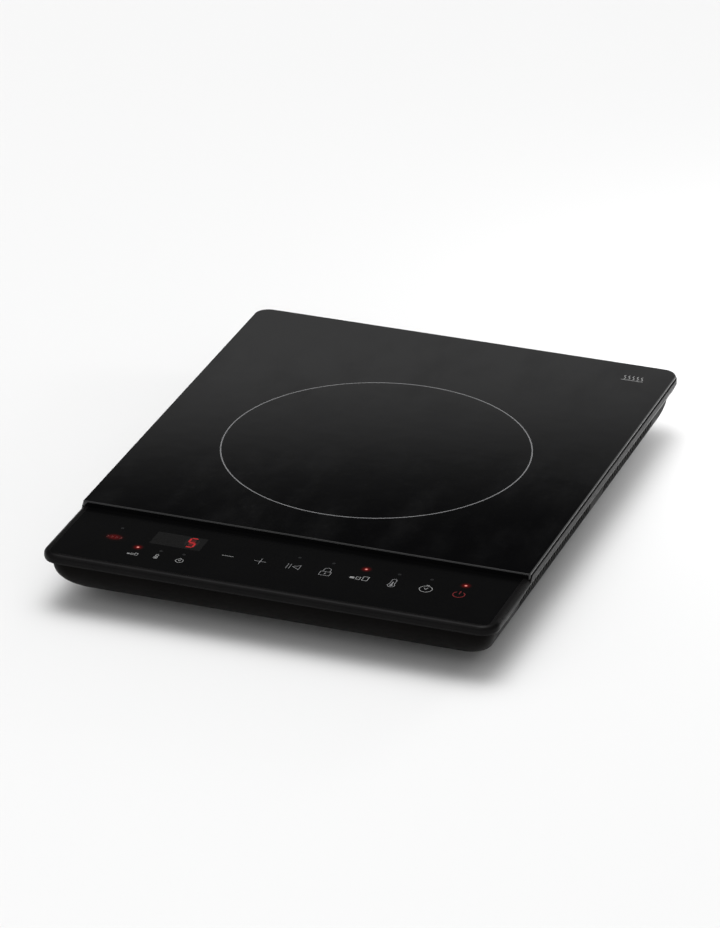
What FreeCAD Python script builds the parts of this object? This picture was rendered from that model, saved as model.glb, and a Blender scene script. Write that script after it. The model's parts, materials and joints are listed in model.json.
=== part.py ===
"""Portable electric induction cooktop, in millimetres.

X is the width, +Y runs from the control strip to the back, +Z is up.
The origin is on the surface the feet stand on, at the centre of the footprint.
"""
import FreeCAD, Part
import math
import os

V = FreeCAD.Vector
X_AXIS = V(1, 0, 0)
Y_AXIS = V(0, 1, 0)
Z_AXIS = V(0, 0, 1)

# ---- driving dimensions: footprint ----
FRAME_WIDTH = 297.0
FRAME_DEPTH = 384.4
STRIP_DEPTH = 70.4

# ---- driving dimensions: heights above the resting surface ----
TOTAL_HEIGHT = 44.0
GLASS_THICKNESS = 4.0
SEAL_THICKNESS = 0.6
STRIP_STEP = 3.5
LIP_DROP = 2.0
RIM_BOTTOM = 34.5
DISH_TOP = 31.5
DISH_BOTTOM = 7.5
FLOOR_THICKNESS = 2.2

# ---- driving dimensions: shell form ----
RIM_CORNER = 11.5
RIM_REAR_CORNER = 10.7
RIM_DRAFT = 1.7
RIM_DRAFT_TOP = 38.3
STRIP_DRAFT = 0.4
STRIP_DRAFT_TOP = 35.7
STRIP_RUN_OUT = 34.0
RIM_EDGE_RADIUS = 3.3
DISH_SIDE_INSET = 4.7
DISH_FRONT_INSET = 2.6
DISH_SIDE_SLOPE = 12.0
DISH_FRONT_SLOPE = 25.0
DISH_CORNER = 12.0
DISH_LEVELS = 6
WALL = 2.4

# ---- derived places ----
HALF_WIDTH = FRAME_WIDTH / 2
FRONT_Y = -FRAME_DEPTH / 2
REAR_Y = FRAME_DEPTH / 2
GLASS_FRONT_Y = FRONT_Y + STRIP_DEPTH
GLASS_BOTTOM = TOTAL_HEIGHT - GLASS_THICKNESS
FRAME_SEAT = GLASS_BOTTOM - SEAL_THICKNESS
STRIP_TOP = TOTAL_HEIGHT - STRIP_STEP
LIP_TOP = TOTAL_HEIGHT - LIP_DROP
FLOOR_TOP = DISH_BOTTOM + FLOOR_THICKNESS

# ---- glass, held by a thin lip of the frame at its sides and back ----
GLASS_MARGIN = 0.7
GLASS_HALF_WIDTH = HALF_WIDTH - GLASS_MARGIN
GLASS_REAR_Y = REAR_Y - GLASS_MARGIN
GLASS_FRONT_CORNER = 0.8
GLASS_REAR_CORNER = RIM_REAR_CORNER - GLASS_MARGIN
GLASS_BEVEL = 0.6
LIP_GAP = 0.1
LIP_EDGE_RADIUS = 0.5
LIP_RAMP = 3.0
SEAL_INSET = 3.0
SEAL_WIDTH = 5.0
SEAL_FRONT_CORNER = 3.0
SEAL_INNER_CORNER = 1.0

# ---- frame windows ----
MAIN_WINDOW_HALF_WIDTH = 116.0
MAIN_WINDOW_FRONT_Y = -108.0
MAIN_WINDOW_REAR_Y = 162.0
STRIP_WINDOW_HALF_WIDTH = 124.0
STRIP_WINDOW_FRONT_Y = -183.0
STRIP_WINDOW_REAR_Y = -127.0
MAIN_WINDOW_CORNER = 6.0
STRIP_WINDOW_CORNER = 3.0

# ---- control panel ----
PANEL_THICKNESS = 1.6
PANEL_SIDE_MARGIN = 5.0
PANEL_FRONT_MARGIN = 3.6
PANEL_GAP = 0.15
PANEL_CORNER = 4.0

# ---- display window, from the glass front edge ----
DISPLAY_X = (-89.5, -56.0)
DISPLAY_Y = (-34.2, -17.3)
DISPLAY_GAP = 0.1

# ---- touch pads and lamps, from the glass front edge ----
UPPER_TOUCH_ROW = -34.0
LOWER_TOUCH_ROW = -50.4
UPPER_TOUCH_X = (-112.4, -37.1, -15.7, 5.5, 26.8, 49.1, 70.5, 91.9, 113.7)
LOWER_TOUCH_X = (-93.5, -78.2, -63.3)
UPPER_LAMP_ROW = -21.1
LOWER_LAMP_ROW = -41.9
UPPER_LAMP_X = (-112.4, 5.5, 27.3, 49.0, 70.7, 91.7, 113.7)
LOWER_LAMP_X = LOWER_TOUCH_X

# ---- side vents: two rows of upright slots on each side wall ----
VENT_PITCH = 5.5
VENT_WIDTH = 2.8
VENT_BOTTOM = 21.0
VENT_TOP = 33.4
VENT_ROWS = ((-127.0, 26), (42.0, 19))
REAR_VENT_START_X = -96.0
REAR_VENT_COUNT = 24
VENT_INNER_X = 125.0
VENT_INNER_Y = 168.0

# ---- openings and blank label recess in the floor ----
GRILLE_FIRST_RADIUS = 6.0
GRILLE_RING_PITCH = 6.0
GRILLE_RING_COUNT = 5
GRILLE_SLOT = 3.4
GRILLE_SPOKES = 6
GRILLE_SPOKE_WIDTH = 2.8
FLOOR_SLOT_COUNT = 11
FLOOR_SLOT_PITCH = 9.2
FLOOR_SLOT_START_X = -50.0
FLOOR_SLOT_SIZE = (3.4, 34.0)
FLOOR_SLOT_ROWS = (-42.0, 30.0)
LABEL_X = (-12.0, 68.0)
LABEL_Y = (96.0, 138.0)
LABEL_DEPTH = 0.3
LABEL_CORNER = 2.5

# ---- posts that hold frame and housing together ----
POST_RADIUS = 4.0
POST_HOLE_RADIUS = 1.5
POST_PLACES = (
    (-118, -117), (0, -117), (118, -117),
    (-120, 30), (120, 30),
    (-60, 170.2), (56, 170.2),
)
SCREW_HEAD_RADIUS = 3.4
SCREW_HEAD_HEIGHT = 1.3
SCREW_LENGTH = 16.0
SCREW_SLOT = 1.2
BRACKET_SCREW_DEPTH = 3.0
BRACKET_HOLE_RADIUS = 1.0

# ---- feet ----
FOOT_RADIUS = 8.0
FOOT_STEM_RADIUS = 3.2
FOOT_X = 112.0
FOOT_FRONT_Y = -141.0
FOOT_REAR_Y = 165.0
FOOT_TAPER = 1.2
FOOT_EDGE_RADIUS = 0.8
BARB_HEIGHT = 1.8
BARB_SPREAD = (0.7, -0.8)

# ---- coil group ----
COIL_Y = 12.0
TRAY_RADIUS = 84.0
TRAY_Z = 24.4
TRAY_THICKNESS = 1.2
FERRITE_COUNT = 8
FERRITE_SIZE = (52.0, 13.0, 4.6)
FERRITE_START = 28.0
FORMER_THICKNESS = 1.6
COIL_INNER_RADIUS = 24.0
COIL_OUTER_RADIUS = 80.0
COIL_TURNS = 9
COIL_WIRE = 4.6
MICA_THICKNESS = 0.6
COIL_SCREW_RADIUS = 70.0
COIL_SCREW_ANGLES = (67.5, 157.5, 247.5, 337.5)
COIL_GROOVE_DEPTH = 1.0
TURN_SHARE = 0.8
TRAY_BORE_RADIUS = 12.0
TRAY_RIM = (1.2, 2.0)
FORMER_RADIUS = COIL_OUTER_RADIUS + 3.0
FORMER_BORE_RADIUS = 10.0
PEG_PLACE_RADIUS = 52.0
PEG_RADIUS = 3.0
SENSOR_FOOT = (11.5, 2.0)
SENSOR_STEM_RADIUS = 8.0
SENSOR_NECK_RADIUS = 5.0
SENSOR_POCKET_RADIUS = 3.0
SENSOR_POCKET_DEPTH = 5.2
SENSOR_STEM_DROP = 1.2

# ---- cooling fan ----
FAN_X = -88.0
FAN_Y = 124.0
FAN_HALF = 40.0
FAN_BOTTOM = FLOOR_TOP + 2.0
FAN_HEIGHT = 18.0
DUCT_RADIUS = 37.0
BLADE_TIP_RADIUS = 35.8
BLADE_COUNT = 7
BLADE_PITCH_DEG = 38.0
BLADE_CHORD = 17.0
BLADE_THICKNESS = 1.3
HUB_RADIUS = 17.0
HUB_WALL = 1.5
SHAFT_RADIUS = 1.0
SHAFT_CLEARANCE = 0.04
FAN_HOLE_SPACING = 71.5
FAN_CORNER = 5.0
FAN_BASE_TOP = FAN_BOTTOM + 1.8
FAN_STRUT_WIDTH = 4.0
SLEEVE_TOP = FAN_BOTTOM + 13.0
SLEEVE_RADIUS = 3.5
BEARING_RADIUS = 2.5
STATOR_LOW = FAN_BOTTOM + 4.0
STATOR_HEIGHT = 6.5
STATOR_CORE_RADIUS = 6.0
STATOR_POLE_WIDTH = 3.2
STATOR_SHOE = (13.2, 11.6, 64.0)
WINDING_WALL = 1.4
WINDING_REACH = (6.6, 11.2)
HUB_SKIRT_LOW = FAN_BOTTOM + 3.2
HUB_CAP_LOW = FAN_BOTTOM + 14.4
HUB_CAP_TOP = FAN_BOTTOM + 16.0
HUB_BOSS_RADIUS = 3.4
SHAFT_LOW = FAN_BOTTOM + 2.2
SHAFT_TOP = FAN_BOTTOM + 15.4
MAGNET_INNER_RADIUS = 13.9
MAGNET_LOW = FAN_BOTTOM + 3.6
MAGNET_TOP = FAN_BOTTOM + 12.0

# ---- power board ----
BOARD_X = (-40.0, 104.0)
BOARD_Y = (100.0, 166.0)
BOARD_BOTTOM = 14.0
BOARD_THICKNESS = 1.6
BOARD_TOP = BOARD_BOTTOM + BOARD_THICKNESS
BOARD_CORNER = 2.0
BOARD_SCREW_INSET = 5.0

# ---- parts on the power board: centre X and Y, width, depth, height ----
PACKAGE_HEIGHT = 5.0
PACKAGES = {
    "power_transistor": (-12.0, 120.0, 16.0, 20.0, PACKAGE_HEIGHT),
    "bridge_rectifier": (-12.0, 145.0, 22.0, 18.0, PACKAGE_HEIGHT),
    "resonance_capacitor": (32.0, 118.0, 14.0, 26.0, 15.0),
    "smoothing_capacitor": (76.0, 118.0, 24.0, 14.0, 14.0),
    "filter_capacitor": (32.0, 150.0, 16.0, 12.0, 12.0),
    "power_relay": (90.0, 132.0, 18.0, 14.0, 14.0),
}
PACKAGE_CORNER = 1.0
CHOKE_PLACE = (62.0, 157.0)
CHOKE_RING_RADIUS = 6.5
CHOKE_SECTION_RADIUS = 3.2
CHOKE_LIFT = 5.0
CAN_PLACES = ((52.0, 140.0), (65.0, 140.0))
CAN_RADIUS = 5.0
CAN_HEIGHT = 14.0
CAN_EDGE_RADIUS = 0.8
TRANSFORMER_X = (42.0, 60.0)
TRANSFORMER_Y = (110.0, 128.0)
TRANSFORMER_HEIGHT = 14.0
TRANSFORMER_WALL = (2.5, 3.0)
BOBBIN_INSET = 3.0
TERMINAL_X = (76.0, 96.0)
TERMINAL_Y = (152.0, 162.0)
TERMINAL_HEIGHT = 10.0
TERMINAL_MOUTHS = (78.0, 88.0)
TERMINAL_MOUTH_WIDTH = 6.0
TERMINAL_WELL_RADIUS = 2.2
FUSE_START = (72.0, 146.0)
FUSE_LENGTH = 22.0
FUSE_RADIUS = 2.5
FUSE_LIFT = 4.5
CLIP_PLACES = (73.0, 88.0)
CLIP_LENGTH = 4.0
CLIP_HALF_WIDTH = 3.5
# ---- mains cord entry ----
CORD_X = 84.0
CORD_Z = 23.0
CORD_BORE_RADIUS = 3.6
BUSH_WALL = 2.4
BUSH_FLANGE = 3.4
BUSH_LENGTH = 11.0
BUSH_EDGE_RADIUS = 1.2
BUSH_FACE_Y = REAR_Y - 1.0
CLAMP_Y = REAR_Y - 21.5
CLAMP_HALF_DEPTH = 3.5
CLAMP_HALF_LENGTH = 12.0
CLAMP_ARCH_RADIUS = 6.0
CLAMP_BASE = CORD_Z - 8.0
CLAMP_THICKNESS = 3.0
CLAMP_SCREW_OFFSET = 8.5

# ---- control board ----
BRACKET_Z = 27.0
BRACKET_WALL = 1.6
CONTROL_BOARD_Z = 29.4
CONTROL_BOARD_THICKNESS = 1.6
BRACKET_REST_X = (-110.0, -40.0, 30.0, 104.0)
BRACKET_HALF_WIDTH = 129.0
BRACKET_Y = (-184.0, -126.0)
BRACKET_CORNER = 3.0
BRACKET_SCREW_X = 133.0
BRACKET_SCREW_Y = (-172.0, -138.0)
BRACKET_EAR = (4.0, 2.0)
CONTROL_BOARD_HALF_WIDTH = 126.0
CONTROL_BOARD_Y = (-181.5, -128.5)
CONTROL_BOARD_CORNER = 1.5
CONTROL_BOARD_TOP = CONTROL_BOARD_Z + CONTROL_BOARD_THICKNESS
SPRING_RADII = (2.4, 4.4)
SPRING_WALL = 0.8
LAMP_RADIUS = 1.5
LAMP_DOME = 0.7
LAMP_DROP = 0.3
DISPLAY_INSET = 1.0
BUZZER_PLACE = (37.0, -171.0)
BUZZER_SIZE = (6.0, 5.5)
BUZZER_HOLE_RADIUS = 1.2

# ---- flat cable between the boards ----
RIBBON_X = (84.0, 94.0)
RIBBON_THICKNESS = 0.8
RIBBON_BEND = 2.0
RIBBON_FLOOR_GAP = 1.4
RIBBON_START_Y = -129.5
RIBBON_DROP_Y = (-100.0, -88.0)
RIBBON_RISE_Y = 93.0
RIBBON_END_Y = 98.0
SOCKET_Y = (98.0, 105.0)
SOCKET_HEIGHT = 8.0
SOCKET_ENTRY = 6.0

# ---- leads of the coil ----
LEAD_X = (22.0, 30.0)
LEAD_RADIUS = 1.4
LEAD_BEND = 6.0
LEAD_DROP_Y = 103.5
LEAD_LIFT = 2.3

# ---- heatsink ----
HEATSINK_X = (-28.0, 18.0)
HEATSINK_Y = (108.0, 158.0)
HEATSINK_BASE = 3.0
HEATSINK_HEIGHT = 13.0
FIN_COUNT = 10
FIN_PITCH = 5.0
FIN_THICKNESS = 1.4
FIN_FIRST = 1.8
HEATSINK_LEG_RADIUS = 2.0
HEATSINK_LEG_INSET = 3.0


# ---- shape helpers ----
def block(x0, x1, y0, y1, z0, z1):
    """A box between two corners."""
    return Part.makeBox(x1 - x0, y1 - y0, z1 - z0, V(x0, y0, z0))


def rod(x, y, z0, z1, radius):
    """An upright cylinder."""
    return Part.makeCylinder(radius, z1 - z0, V(x, y, z0))


def tube(x, y, z0, z1, outer, inner):
    """An upright tube."""
    return rod(x, y, z0, z1, outer).cut(rod(x, y, z0, z1, inner))


def on_circle(centre_x, centre_y, radius, angle_deg):
    """The X and Y of a point on a circle."""
    angle = math.radians(angle_deg)
    return centre_x + radius * math.cos(angle), centre_y + radius * math.sin(angle)


def rounded_wire(x0, x1, y0, y1, z, front_radius, rear_radius):
    """A rectangle with an arc at each corner, at height z."""
    corners = (
        (x1 - front_radius, y0 + front_radius, front_radius, -90),
        (x1 - rear_radius, y1 - rear_radius, rear_radius, 0),
        (x0 + rear_radius, y1 - rear_radius, rear_radius, 90),
        (x0 + front_radius, y0 + front_radius, front_radius, 180),
    )
    arcs = []
    for centre_x, centre_y, radius, start in corners:
        points = []
        for turn in (0, 45, 90):
            px, py = on_circle(centre_x, centre_y, radius, start + turn)
            points.append(V(px, py, z))
        arcs.append(points)
    edges = []
    for index, points in enumerate(arcs):
        following = arcs[(index + 1) % len(arcs)]
        edges.append(Part.Arc(*points).toShape())
        edges.append(Part.LineSegment(points[2], following[0]).toShape())
    return Part.Wire(edges)


def plate(x0, x1, y0, y1, z0, z1, front_radius, rear_radius=None):
    """A flat plate with rounded corners."""
    if rear_radius is None:
        rear_radius = front_radius
    wire = rounded_wire(x0, x1, y0, y1, z0, front_radius, rear_radius)
    return Part.Face(wire).extrude(V(0, 0, z1 - z0))


def ring_sector(x, y, z0, z1, outer, inner, start_deg, turn_deg):
    """Part of an upright ring, from one angle through a turn."""
    sector = Part.makeCylinder(outer, z1 - z0, V(0, 0, 0), Z_AXIS, turn_deg)
    sector = sector.cut(rod(0, 0, 0, z1 - z0, inner))
    sector.rotate(V(0, 0, 0), Z_AXIS, start_deg)
    sector.translate(V(x, y, z0))
    return sector


def joined(shapes):
    """Touching shapes made into one solid."""
    first = shapes[0]
    if len(shapes) == 1:
        return first
    return first.fuse(shapes[1:]).removeSplitter()


def edges_at_height(shape, z):
    """The edges of a shape that lie flat at one height."""
    found = []
    for edge in shape.Edges:
        box = edge.BoundBox
        if abs(box.ZMin - z) < 1e-4 and abs(box.ZMax - z) < 1e-4:
            found.append(edge)
    return found


def screw(x, y, head_z, length, head_radius, shank_radius, points_up):
    """A pan-head screw; its head face is at head_z and its shank points up or down."""
    way = 1 if points_up else -1
    axis = V(0, 0, way)
    head = Part.makeCylinder(head_radius, SCREW_HEAD_HEIGHT, V(x, y, head_z), axis)
    shank_start = V(x, y, head_z + way * SCREW_HEAD_HEIGHT)
    shank = Part.makeCylinder(shank_radius, length, shank_start, axis)
    half_slot = SCREW_SLOT / 4
    reach = head_radius * 0.6
    depth = SCREW_HEAD_HEIGHT * 0.6
    low = min(head_z, head_z + way * depth)
    cross = block(x - reach, x + reach, y - half_slot, y + half_slot, low, low + depth)
    cross = cross.fuse(block(x - half_slot, x + half_slot, y - reach, y + reach, low, low + depth))
    return head.fuse(shank).cut(cross).removeSplitter()


def dish_wire(z, inward):
    """The outline of the lower shell at one height, moved inward by a wall."""
    level = max(0.0, (DISH_TOP - z) / (DISH_TOP - DISH_BOTTOM))
    side = DISH_SIDE_INSET + DISH_SIDE_SLOPE * level ** 2 + inward
    front = DISH_FRONT_INSET + DISH_FRONT_SLOPE * level ** 2 + inward
    corner = DISH_CORNER - inward
    return rounded_wire(
        side - HALF_WIDTH, HALF_WIDTH - side, FRONT_Y + front, REAR_Y - side, z, corner, corner)


def dish(bottom, top, wall):
    """The curved bowl of the lower shell, with an upright lip above it."""
    wires = []
    for step in range(DISH_LEVELS + 1):
        share = step / DISH_LEVELS
        z = DISH_TOP + (bottom - DISH_TOP) * share
        level = (DISH_TOP - z) / (DISH_TOP - DISH_BOTTOM)
        wires.append(dish_wire(z, wall * (1 + 0.5 * level)))
    bowl = Part.makeLoft(wires, True, False)
    lip = Part.Face(wires[0]).extrude(V(0, 0, top - DISH_TOP))
    return bowl.fuse(lip)


# ---- casing ----
def glass_plate():
    """Black ceramic glass with a bevelled top edge and round rear corners."""
    glass = plate(-GLASS_HALF_WIDTH, GLASS_HALF_WIDTH, GLASS_FRONT_Y, GLASS_REAR_Y,
                  GLASS_BOTTOM, TOTAL_HEIGHT, GLASS_FRONT_CORNER, GLASS_REAR_CORNER)
    return glass.makeChamfer(GLASS_BEVEL, edges_at_height(glass, TOTAL_HEIGHT))


def glass_seal():
    """Flat silicone bead that glues the glass to the frame."""
    half = GLASS_HALF_WIDTH - SEAL_INSET
    front = GLASS_FRONT_Y + SEAL_INSET
    rear = GLASS_REAR_Y - SEAL_INSET
    corner = GLASS_REAR_CORNER - SEAL_INSET
    outer = plate(-half, half, front, rear, FRAME_SEAT, GLASS_BOTTOM, SEAL_FRONT_CORNER, corner)
    inner = plate(SEAL_WIDTH - half, half - SEAL_WIDTH, front + SEAL_WIDTH, rear - SEAL_WIDTH,
                  FRAME_SEAT, GLASS_BOTTOM, SEAL_INNER_CORNER, corner - SEAL_WIDTH)
    return outer.cut(inner)


def frame_outline(z, inset):
    """The outer outline of the frame at one height, moved inward by a draft."""
    return rounded_wire(inset - HALF_WIDTH, HALF_WIDTH - inset, FRONT_Y + inset, REAR_Y - inset,
                        z, RIM_CORNER - inset, RIM_REAR_CORNER - inset)


def rim_body(draft, shoulder, top, edge_radius):
    """The full outline: drafted up to the shoulder, then upright, with a rounded top edge."""
    drafted = Part.makeLoft([frame_outline(RIM_BOTTOM, draft), frame_outline(shoulder, 0.0)],
                            True, True)
    crown = Part.Face(frame_outline(shoulder, 0.0)).extrude(V(0, 0, top - shoulder))
    return drafted.fuse(crown.makeFillet(edge_radius, edges_at_height(crown, top)))


def strip_room(split):
    """Where the strip may be: its upright sides turn into the drafted sides of the rim."""
    start = split - STRIP_RUN_OUT
    sections = []
    for y, draft, shoulder in ((start, STRIP_DRAFT, STRIP_DRAFT_TOP),
                               (split, RIM_DRAFT, RIM_DRAFT_TOP)):
        low = HALF_WIDTH - draft
        profile = [(-low, RIM_BOTTOM), (low, RIM_BOTTOM), (HALF_WIDTH, shoulder),
                   (HALF_WIDTH, TOTAL_HEIGHT), (-HALF_WIDTH, TOTAL_HEIGHT), (-HALF_WIDTH, shoulder)]
        corners = [V(x, y, z) for x, z in profile]
        sections.append(Part.makePolygon(corners + corners[:1]))
    front = block(-HALF_WIDTH, HALF_WIDTH, FRONT_Y, start, 0, TOTAL_HEIGHT)
    return front.fuse(Part.makeLoft(sections, True, True))


def frame_body():
    """The rim before its openings: a soft-edged strip in front, and a thin lip round the glass."""
    split = GLASS_FRONT_Y - PANEL_GAP
    strip = rim_body(STRIP_DRAFT, STRIP_DRAFT_TOP, STRIP_TOP, RIM_EDGE_RADIUS)
    strip = strip.common(strip_room(split))
    side = [(split, 0), (REAR_Y, 0), (REAR_Y, LIP_TOP), (split + LIP_RAMP, LIP_TOP),
            (split, STRIP_TOP - RIM_EDGE_RADIUS / 2)]
    corners = [V(-HALF_WIDTH, y, z) for y, z in side]
    wedge = Part.Face(Part.makePolygon(corners + corners[:1])).extrude(V(FRAME_WIDTH, 0, 0))
    rim = rim_body(RIM_DRAFT, RIM_DRAFT_TOP, LIP_TOP, LIP_EDGE_RADIUS)
    return strip.fuse(rim.common(wedge))


def glass_pocket():
    """The space that the lip leaves open above the glass seat."""
    half = GLASS_HALF_WIDTH + LIP_GAP
    pocket = plate(-half, half, FRONT_Y, GLASS_REAR_Y + LIP_GAP, FRAME_SEAT, TOTAL_HEIGHT,
                   GLASS_FRONT_CORNER, GLASS_REAR_CORNER + LIP_GAP)
    start = GLASS_FRONT_Y - PANEL_GAP
    return pocket.common(block(-HALF_WIDTH, HALF_WIDTH, start, REAR_Y, 0, TOTAL_HEIGHT))


def upper_frame():
    """Moulded frame: rim, lip, glass seat, recess for the control panel, and screw posts."""
    below = RIM_BOTTOM - 1
    main_window = plate(-MAIN_WINDOW_HALF_WIDTH, MAIN_WINDOW_HALF_WIDTH, MAIN_WINDOW_FRONT_Y,
                        MAIN_WINDOW_REAR_Y, below, TOTAL_HEIGHT, MAIN_WINDOW_CORNER)
    strip_window = plate(-STRIP_WINDOW_HALF_WIDTH, STRIP_WINDOW_HALF_WIDTH,
                         STRIP_WINDOW_FRONT_Y, STRIP_WINDOW_REAR_Y,
                         below, TOTAL_HEIGHT, STRIP_WINDOW_CORNER)
    recess = panel_space(0.0, TOTAL_HEIGHT)
    frame = frame_body().cut([glass_pocket(), main_window, strip_window, recess])
    posts = [rod(x, y, FLOOR_TOP, RIM_BOTTOM + 1, POST_RADIUS) for x, y in POST_PLACES]
    holes = [rod(x, y, FLOOR_TOP, FLOOR_TOP + SCREW_LENGTH, POST_HOLE_RADIUS)
             for x, y in POST_PLACES]
    ears = [rod(x, y, RIM_BOTTOM, RIM_BOTTOM + BRACKET_SCREW_DEPTH, BRACKET_HOLE_RADIUS)
            for x, y in bracket_screw_places()]
    return frame.fuse(posts).cut(holes + ears).removeSplitter()


def panel_space(gap, top):
    """The room of the control panel, less a gap at its front and sides."""
    half = HALF_WIDTH - PANEL_SIDE_MARGIN - gap
    space = plate(-half, half, FRONT_Y + PANEL_FRONT_MARGIN + gap, GLASS_FRONT_Y + STRIP_DEPTH,
                  STRIP_TOP - PANEL_THICKNESS, top, PANEL_CORNER - gap)
    rear = GLASS_FRONT_Y - PANEL_GAP
    return space.common(block(-HALF_WIDTH, HALF_WIDTH, FRONT_Y, rear, 0, TOTAL_HEIGHT))


def control_panel():
    """Satin cover of the control strip, with a cut-out for the display window."""
    return panel_space(PANEL_GAP, STRIP_TOP).cut(window_block(0.0))


def window_block(gap):
    """The space of the display window, less a gap on each side."""
    return block(DISPLAY_X[0] + gap, DISPLAY_X[1] - gap,
                 GLASS_FRONT_Y + DISPLAY_Y[0] + gap, GLASS_FRONT_Y + DISPLAY_Y[1] - gap,
                 STRIP_TOP - PANEL_THICKNESS, STRIP_TOP)


def lower_housing():
    """Lower shell: curved bowl with side and rear vents, fan grille and stand-offs."""
    shell = dish(DISH_BOTTOM, RIM_BOTTOM, 0.0).cut(dish(FLOOR_TOP, RIM_BOTTOM, WALL))
    standoffs = [rod(x, y, FLOOR_TOP - 0.5, z, radius) for x, y, z, radius in standoff_list()]
    shell = shell.fuse(standoffs)
    cutters = side_vents() + rear_vents() + fan_grille() + floor_vents()
    cutters.append(plate(*LABEL_X, *LABEL_Y, 0, DISH_BOTTOM + LABEL_DEPTH, LABEL_CORNER))
    for x, y in POST_PLACES:
        cutters.append(rod(x, y, 0, FLOOR_TOP + 1, POST_HOLE_RADIUS))
        cutters.append(rod(x, y, 0, DISH_BOTTOM + SCREW_HEAD_HEIGHT, SCREW_HEAD_RADIUS + 0.2))
    for x, y in foot_places():
        cutters.append(rod(x, y, 0, FLOOR_TOP + 1, FOOT_STEM_RADIUS))
    cutters.append(bush_hole())
    return shell.cut(cutters).removeSplitter()


def standoff_list():
    """X, Y, top and radius of every stand-off on the floor."""
    places = [(x, y, TRAY_Z, 4.0) for x, y in coil_screw_places()]
    places += [(x, y, BOARD_BOTTOM, 3.5) for x, y in board_screw_places()]
    places += [(x, y, FAN_BOTTOM, 4.5) for x, y in fan_screw_places()]
    places += [(x, y, CLAMP_BASE, 3.0) for x, y in clamp_screw_places()]
    return places


def side_vents():
    """Upright slots under the rim on the left and right walls."""
    slots = []
    for start_y, count in VENT_ROWS:
        for index in range(count):
            y = start_y + index * VENT_PITCH
            for x0, x1 in ((-HALF_WIDTH, -VENT_INNER_X), (VENT_INNER_X, HALF_WIDTH)):
                slots.append(block(x0, x1, y, y + VENT_WIDTH, VENT_BOTTOM, VENT_TOP))
    return slots


def rear_vents():
    """Upright slots in the rear wall, behind the power board."""
    slots = []
    for index in range(REAR_VENT_COUNT):
        x = REAR_VENT_START_X + index * VENT_PITCH
        slots.append(block(x, x + VENT_WIDTH, VENT_INNER_Y, REAR_Y, VENT_BOTTOM, VENT_TOP))
    return slots


def fan_grille():
    """Ring slots under the fan, crossed by spokes of one width."""
    slots = []
    sector = 360 / GRILLE_SPOKES
    for ring in range(GRILLE_RING_COUNT):
        inner = GRILLE_FIRST_RADIUS + ring * GRILLE_RING_PITCH
        outer = inner + GRILLE_SLOT
        spoke_deg = math.degrees(GRILLE_SPOKE_WIDTH / ((inner + outer) / 2))
        for spoke in range(GRILLE_SPOKES):
            start = spoke * sector + spoke_deg / 2
            slots.append(ring_sector(FAN_X, FAN_Y, 0, FLOOR_TOP + 1, outer, inner,
                                     start, sector - spoke_deg))
    return slots


def floor_vents():
    """Two fields of straight slots in the floor, under the coil."""
    slots = []
    width, length = FLOOR_SLOT_SIZE
    for row_y in FLOOR_SLOT_ROWS:
        for index in range(FLOOR_SLOT_COUNT):
            x = FLOOR_SLOT_START_X + index * FLOOR_SLOT_PITCH
            slots.append(plate(x, x + width, row_y, row_y + length, 0, FLOOR_TOP + 1,
                               width / 2 - 0.1))
    return slots


def foot_places():
    """The four feet."""
    return [(side * FOOT_X, y) for y in (FOOT_FRONT_Y, FOOT_REAR_Y) for side in (-1, 1)]


def rubber_foot(x, y):
    """A tapered rubber foot with a stem pressed through the floor."""
    pad = Part.makeCone(FOOT_RADIUS - FOOT_TAPER, FOOT_RADIUS, DISH_BOTTOM, V(x, y, 0))
    pad = pad.makeFillet(FOOT_EDGE_RADIUS, edges_at_height(pad, 0.0))
    stem = rod(x, y, DISH_BOTTOM, FLOOR_TOP, FOOT_STEM_RADIUS)
    low, high = [FOOT_STEM_RADIUS + spread for spread in BARB_SPREAD]
    barb = Part.makeCone(low, high, BARB_HEIGHT, V(x, y, FLOOR_TOP))
    return joined([pad, stem, barb])


def housing_screws():
    """Screws driven up through the floor into the frame posts."""
    return Part.makeCompound([
        screw(x, y, DISH_BOTTOM, SCREW_LENGTH - 3, SCREW_HEAD_RADIUS, POST_HOLE_RADIUS - 0.05, True)
        for x, y in POST_PLACES])


# ---- mains cord entry ----
def bush_hole():
    """The round hole through the rear wall that the cord bush sits in."""
    start = V(CORD_X, CLAMP_Y, CORD_Z)
    return Part.makeCylinder(CORD_BORE_RADIUS + BUSH_WALL, REAR_Y - CLAMP_Y, start, Y_AXIS)


def cord_bush():
    """Rubber bush in the rear wall, with a round bore for the mains cord."""
    centre = V(CORD_X, 0, CORD_Z)
    groove = CORD_BORE_RADIUS + BUSH_WALL
    flange_y = BUSH_FACE_Y - BUSH_FLANGE
    inner_y = BUSH_FACE_Y - BUSH_LENGTH
    flange = Part.makeCylinder(groove + BUSH_WALL, BUSH_FLANGE, centre + V(0, flange_y, 0), Y_AXIS)
    neck = Part.makeCylinder(groove, flange_y - inner_y, centre + V(0, inner_y, 0), Y_AXIS)
    bush = joined([flange, neck])
    face_edges = [e for e in bush.Edges if abs(e.BoundBox.YMin - BUSH_FACE_Y) < 1e-4]
    bush = bush.makeFillet(BUSH_EDGE_RADIUS, face_edges)
    bore = Part.makeCylinder(CORD_BORE_RADIUS, 2 * BUSH_LENGTH,
                             centre + V(0, BUSH_FACE_Y - 1.5 * BUSH_LENGTH, 0), Y_AXIS)
    shell = dish(DISH_BOTTOM, RIM_BOTTOM, 0.0).cut(dish(FLOOR_TOP, RIM_BOTTOM, WALL))
    return bush.cut(bore).cut(shell.cut(bush_hole()))


def clamp_screw_places():
    """Two screws beside the cord, inside the rear wall."""
    return [(CORD_X + side * CLAMP_SCREW_OFFSET, CLAMP_Y) for side in (-1, 1)]


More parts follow.
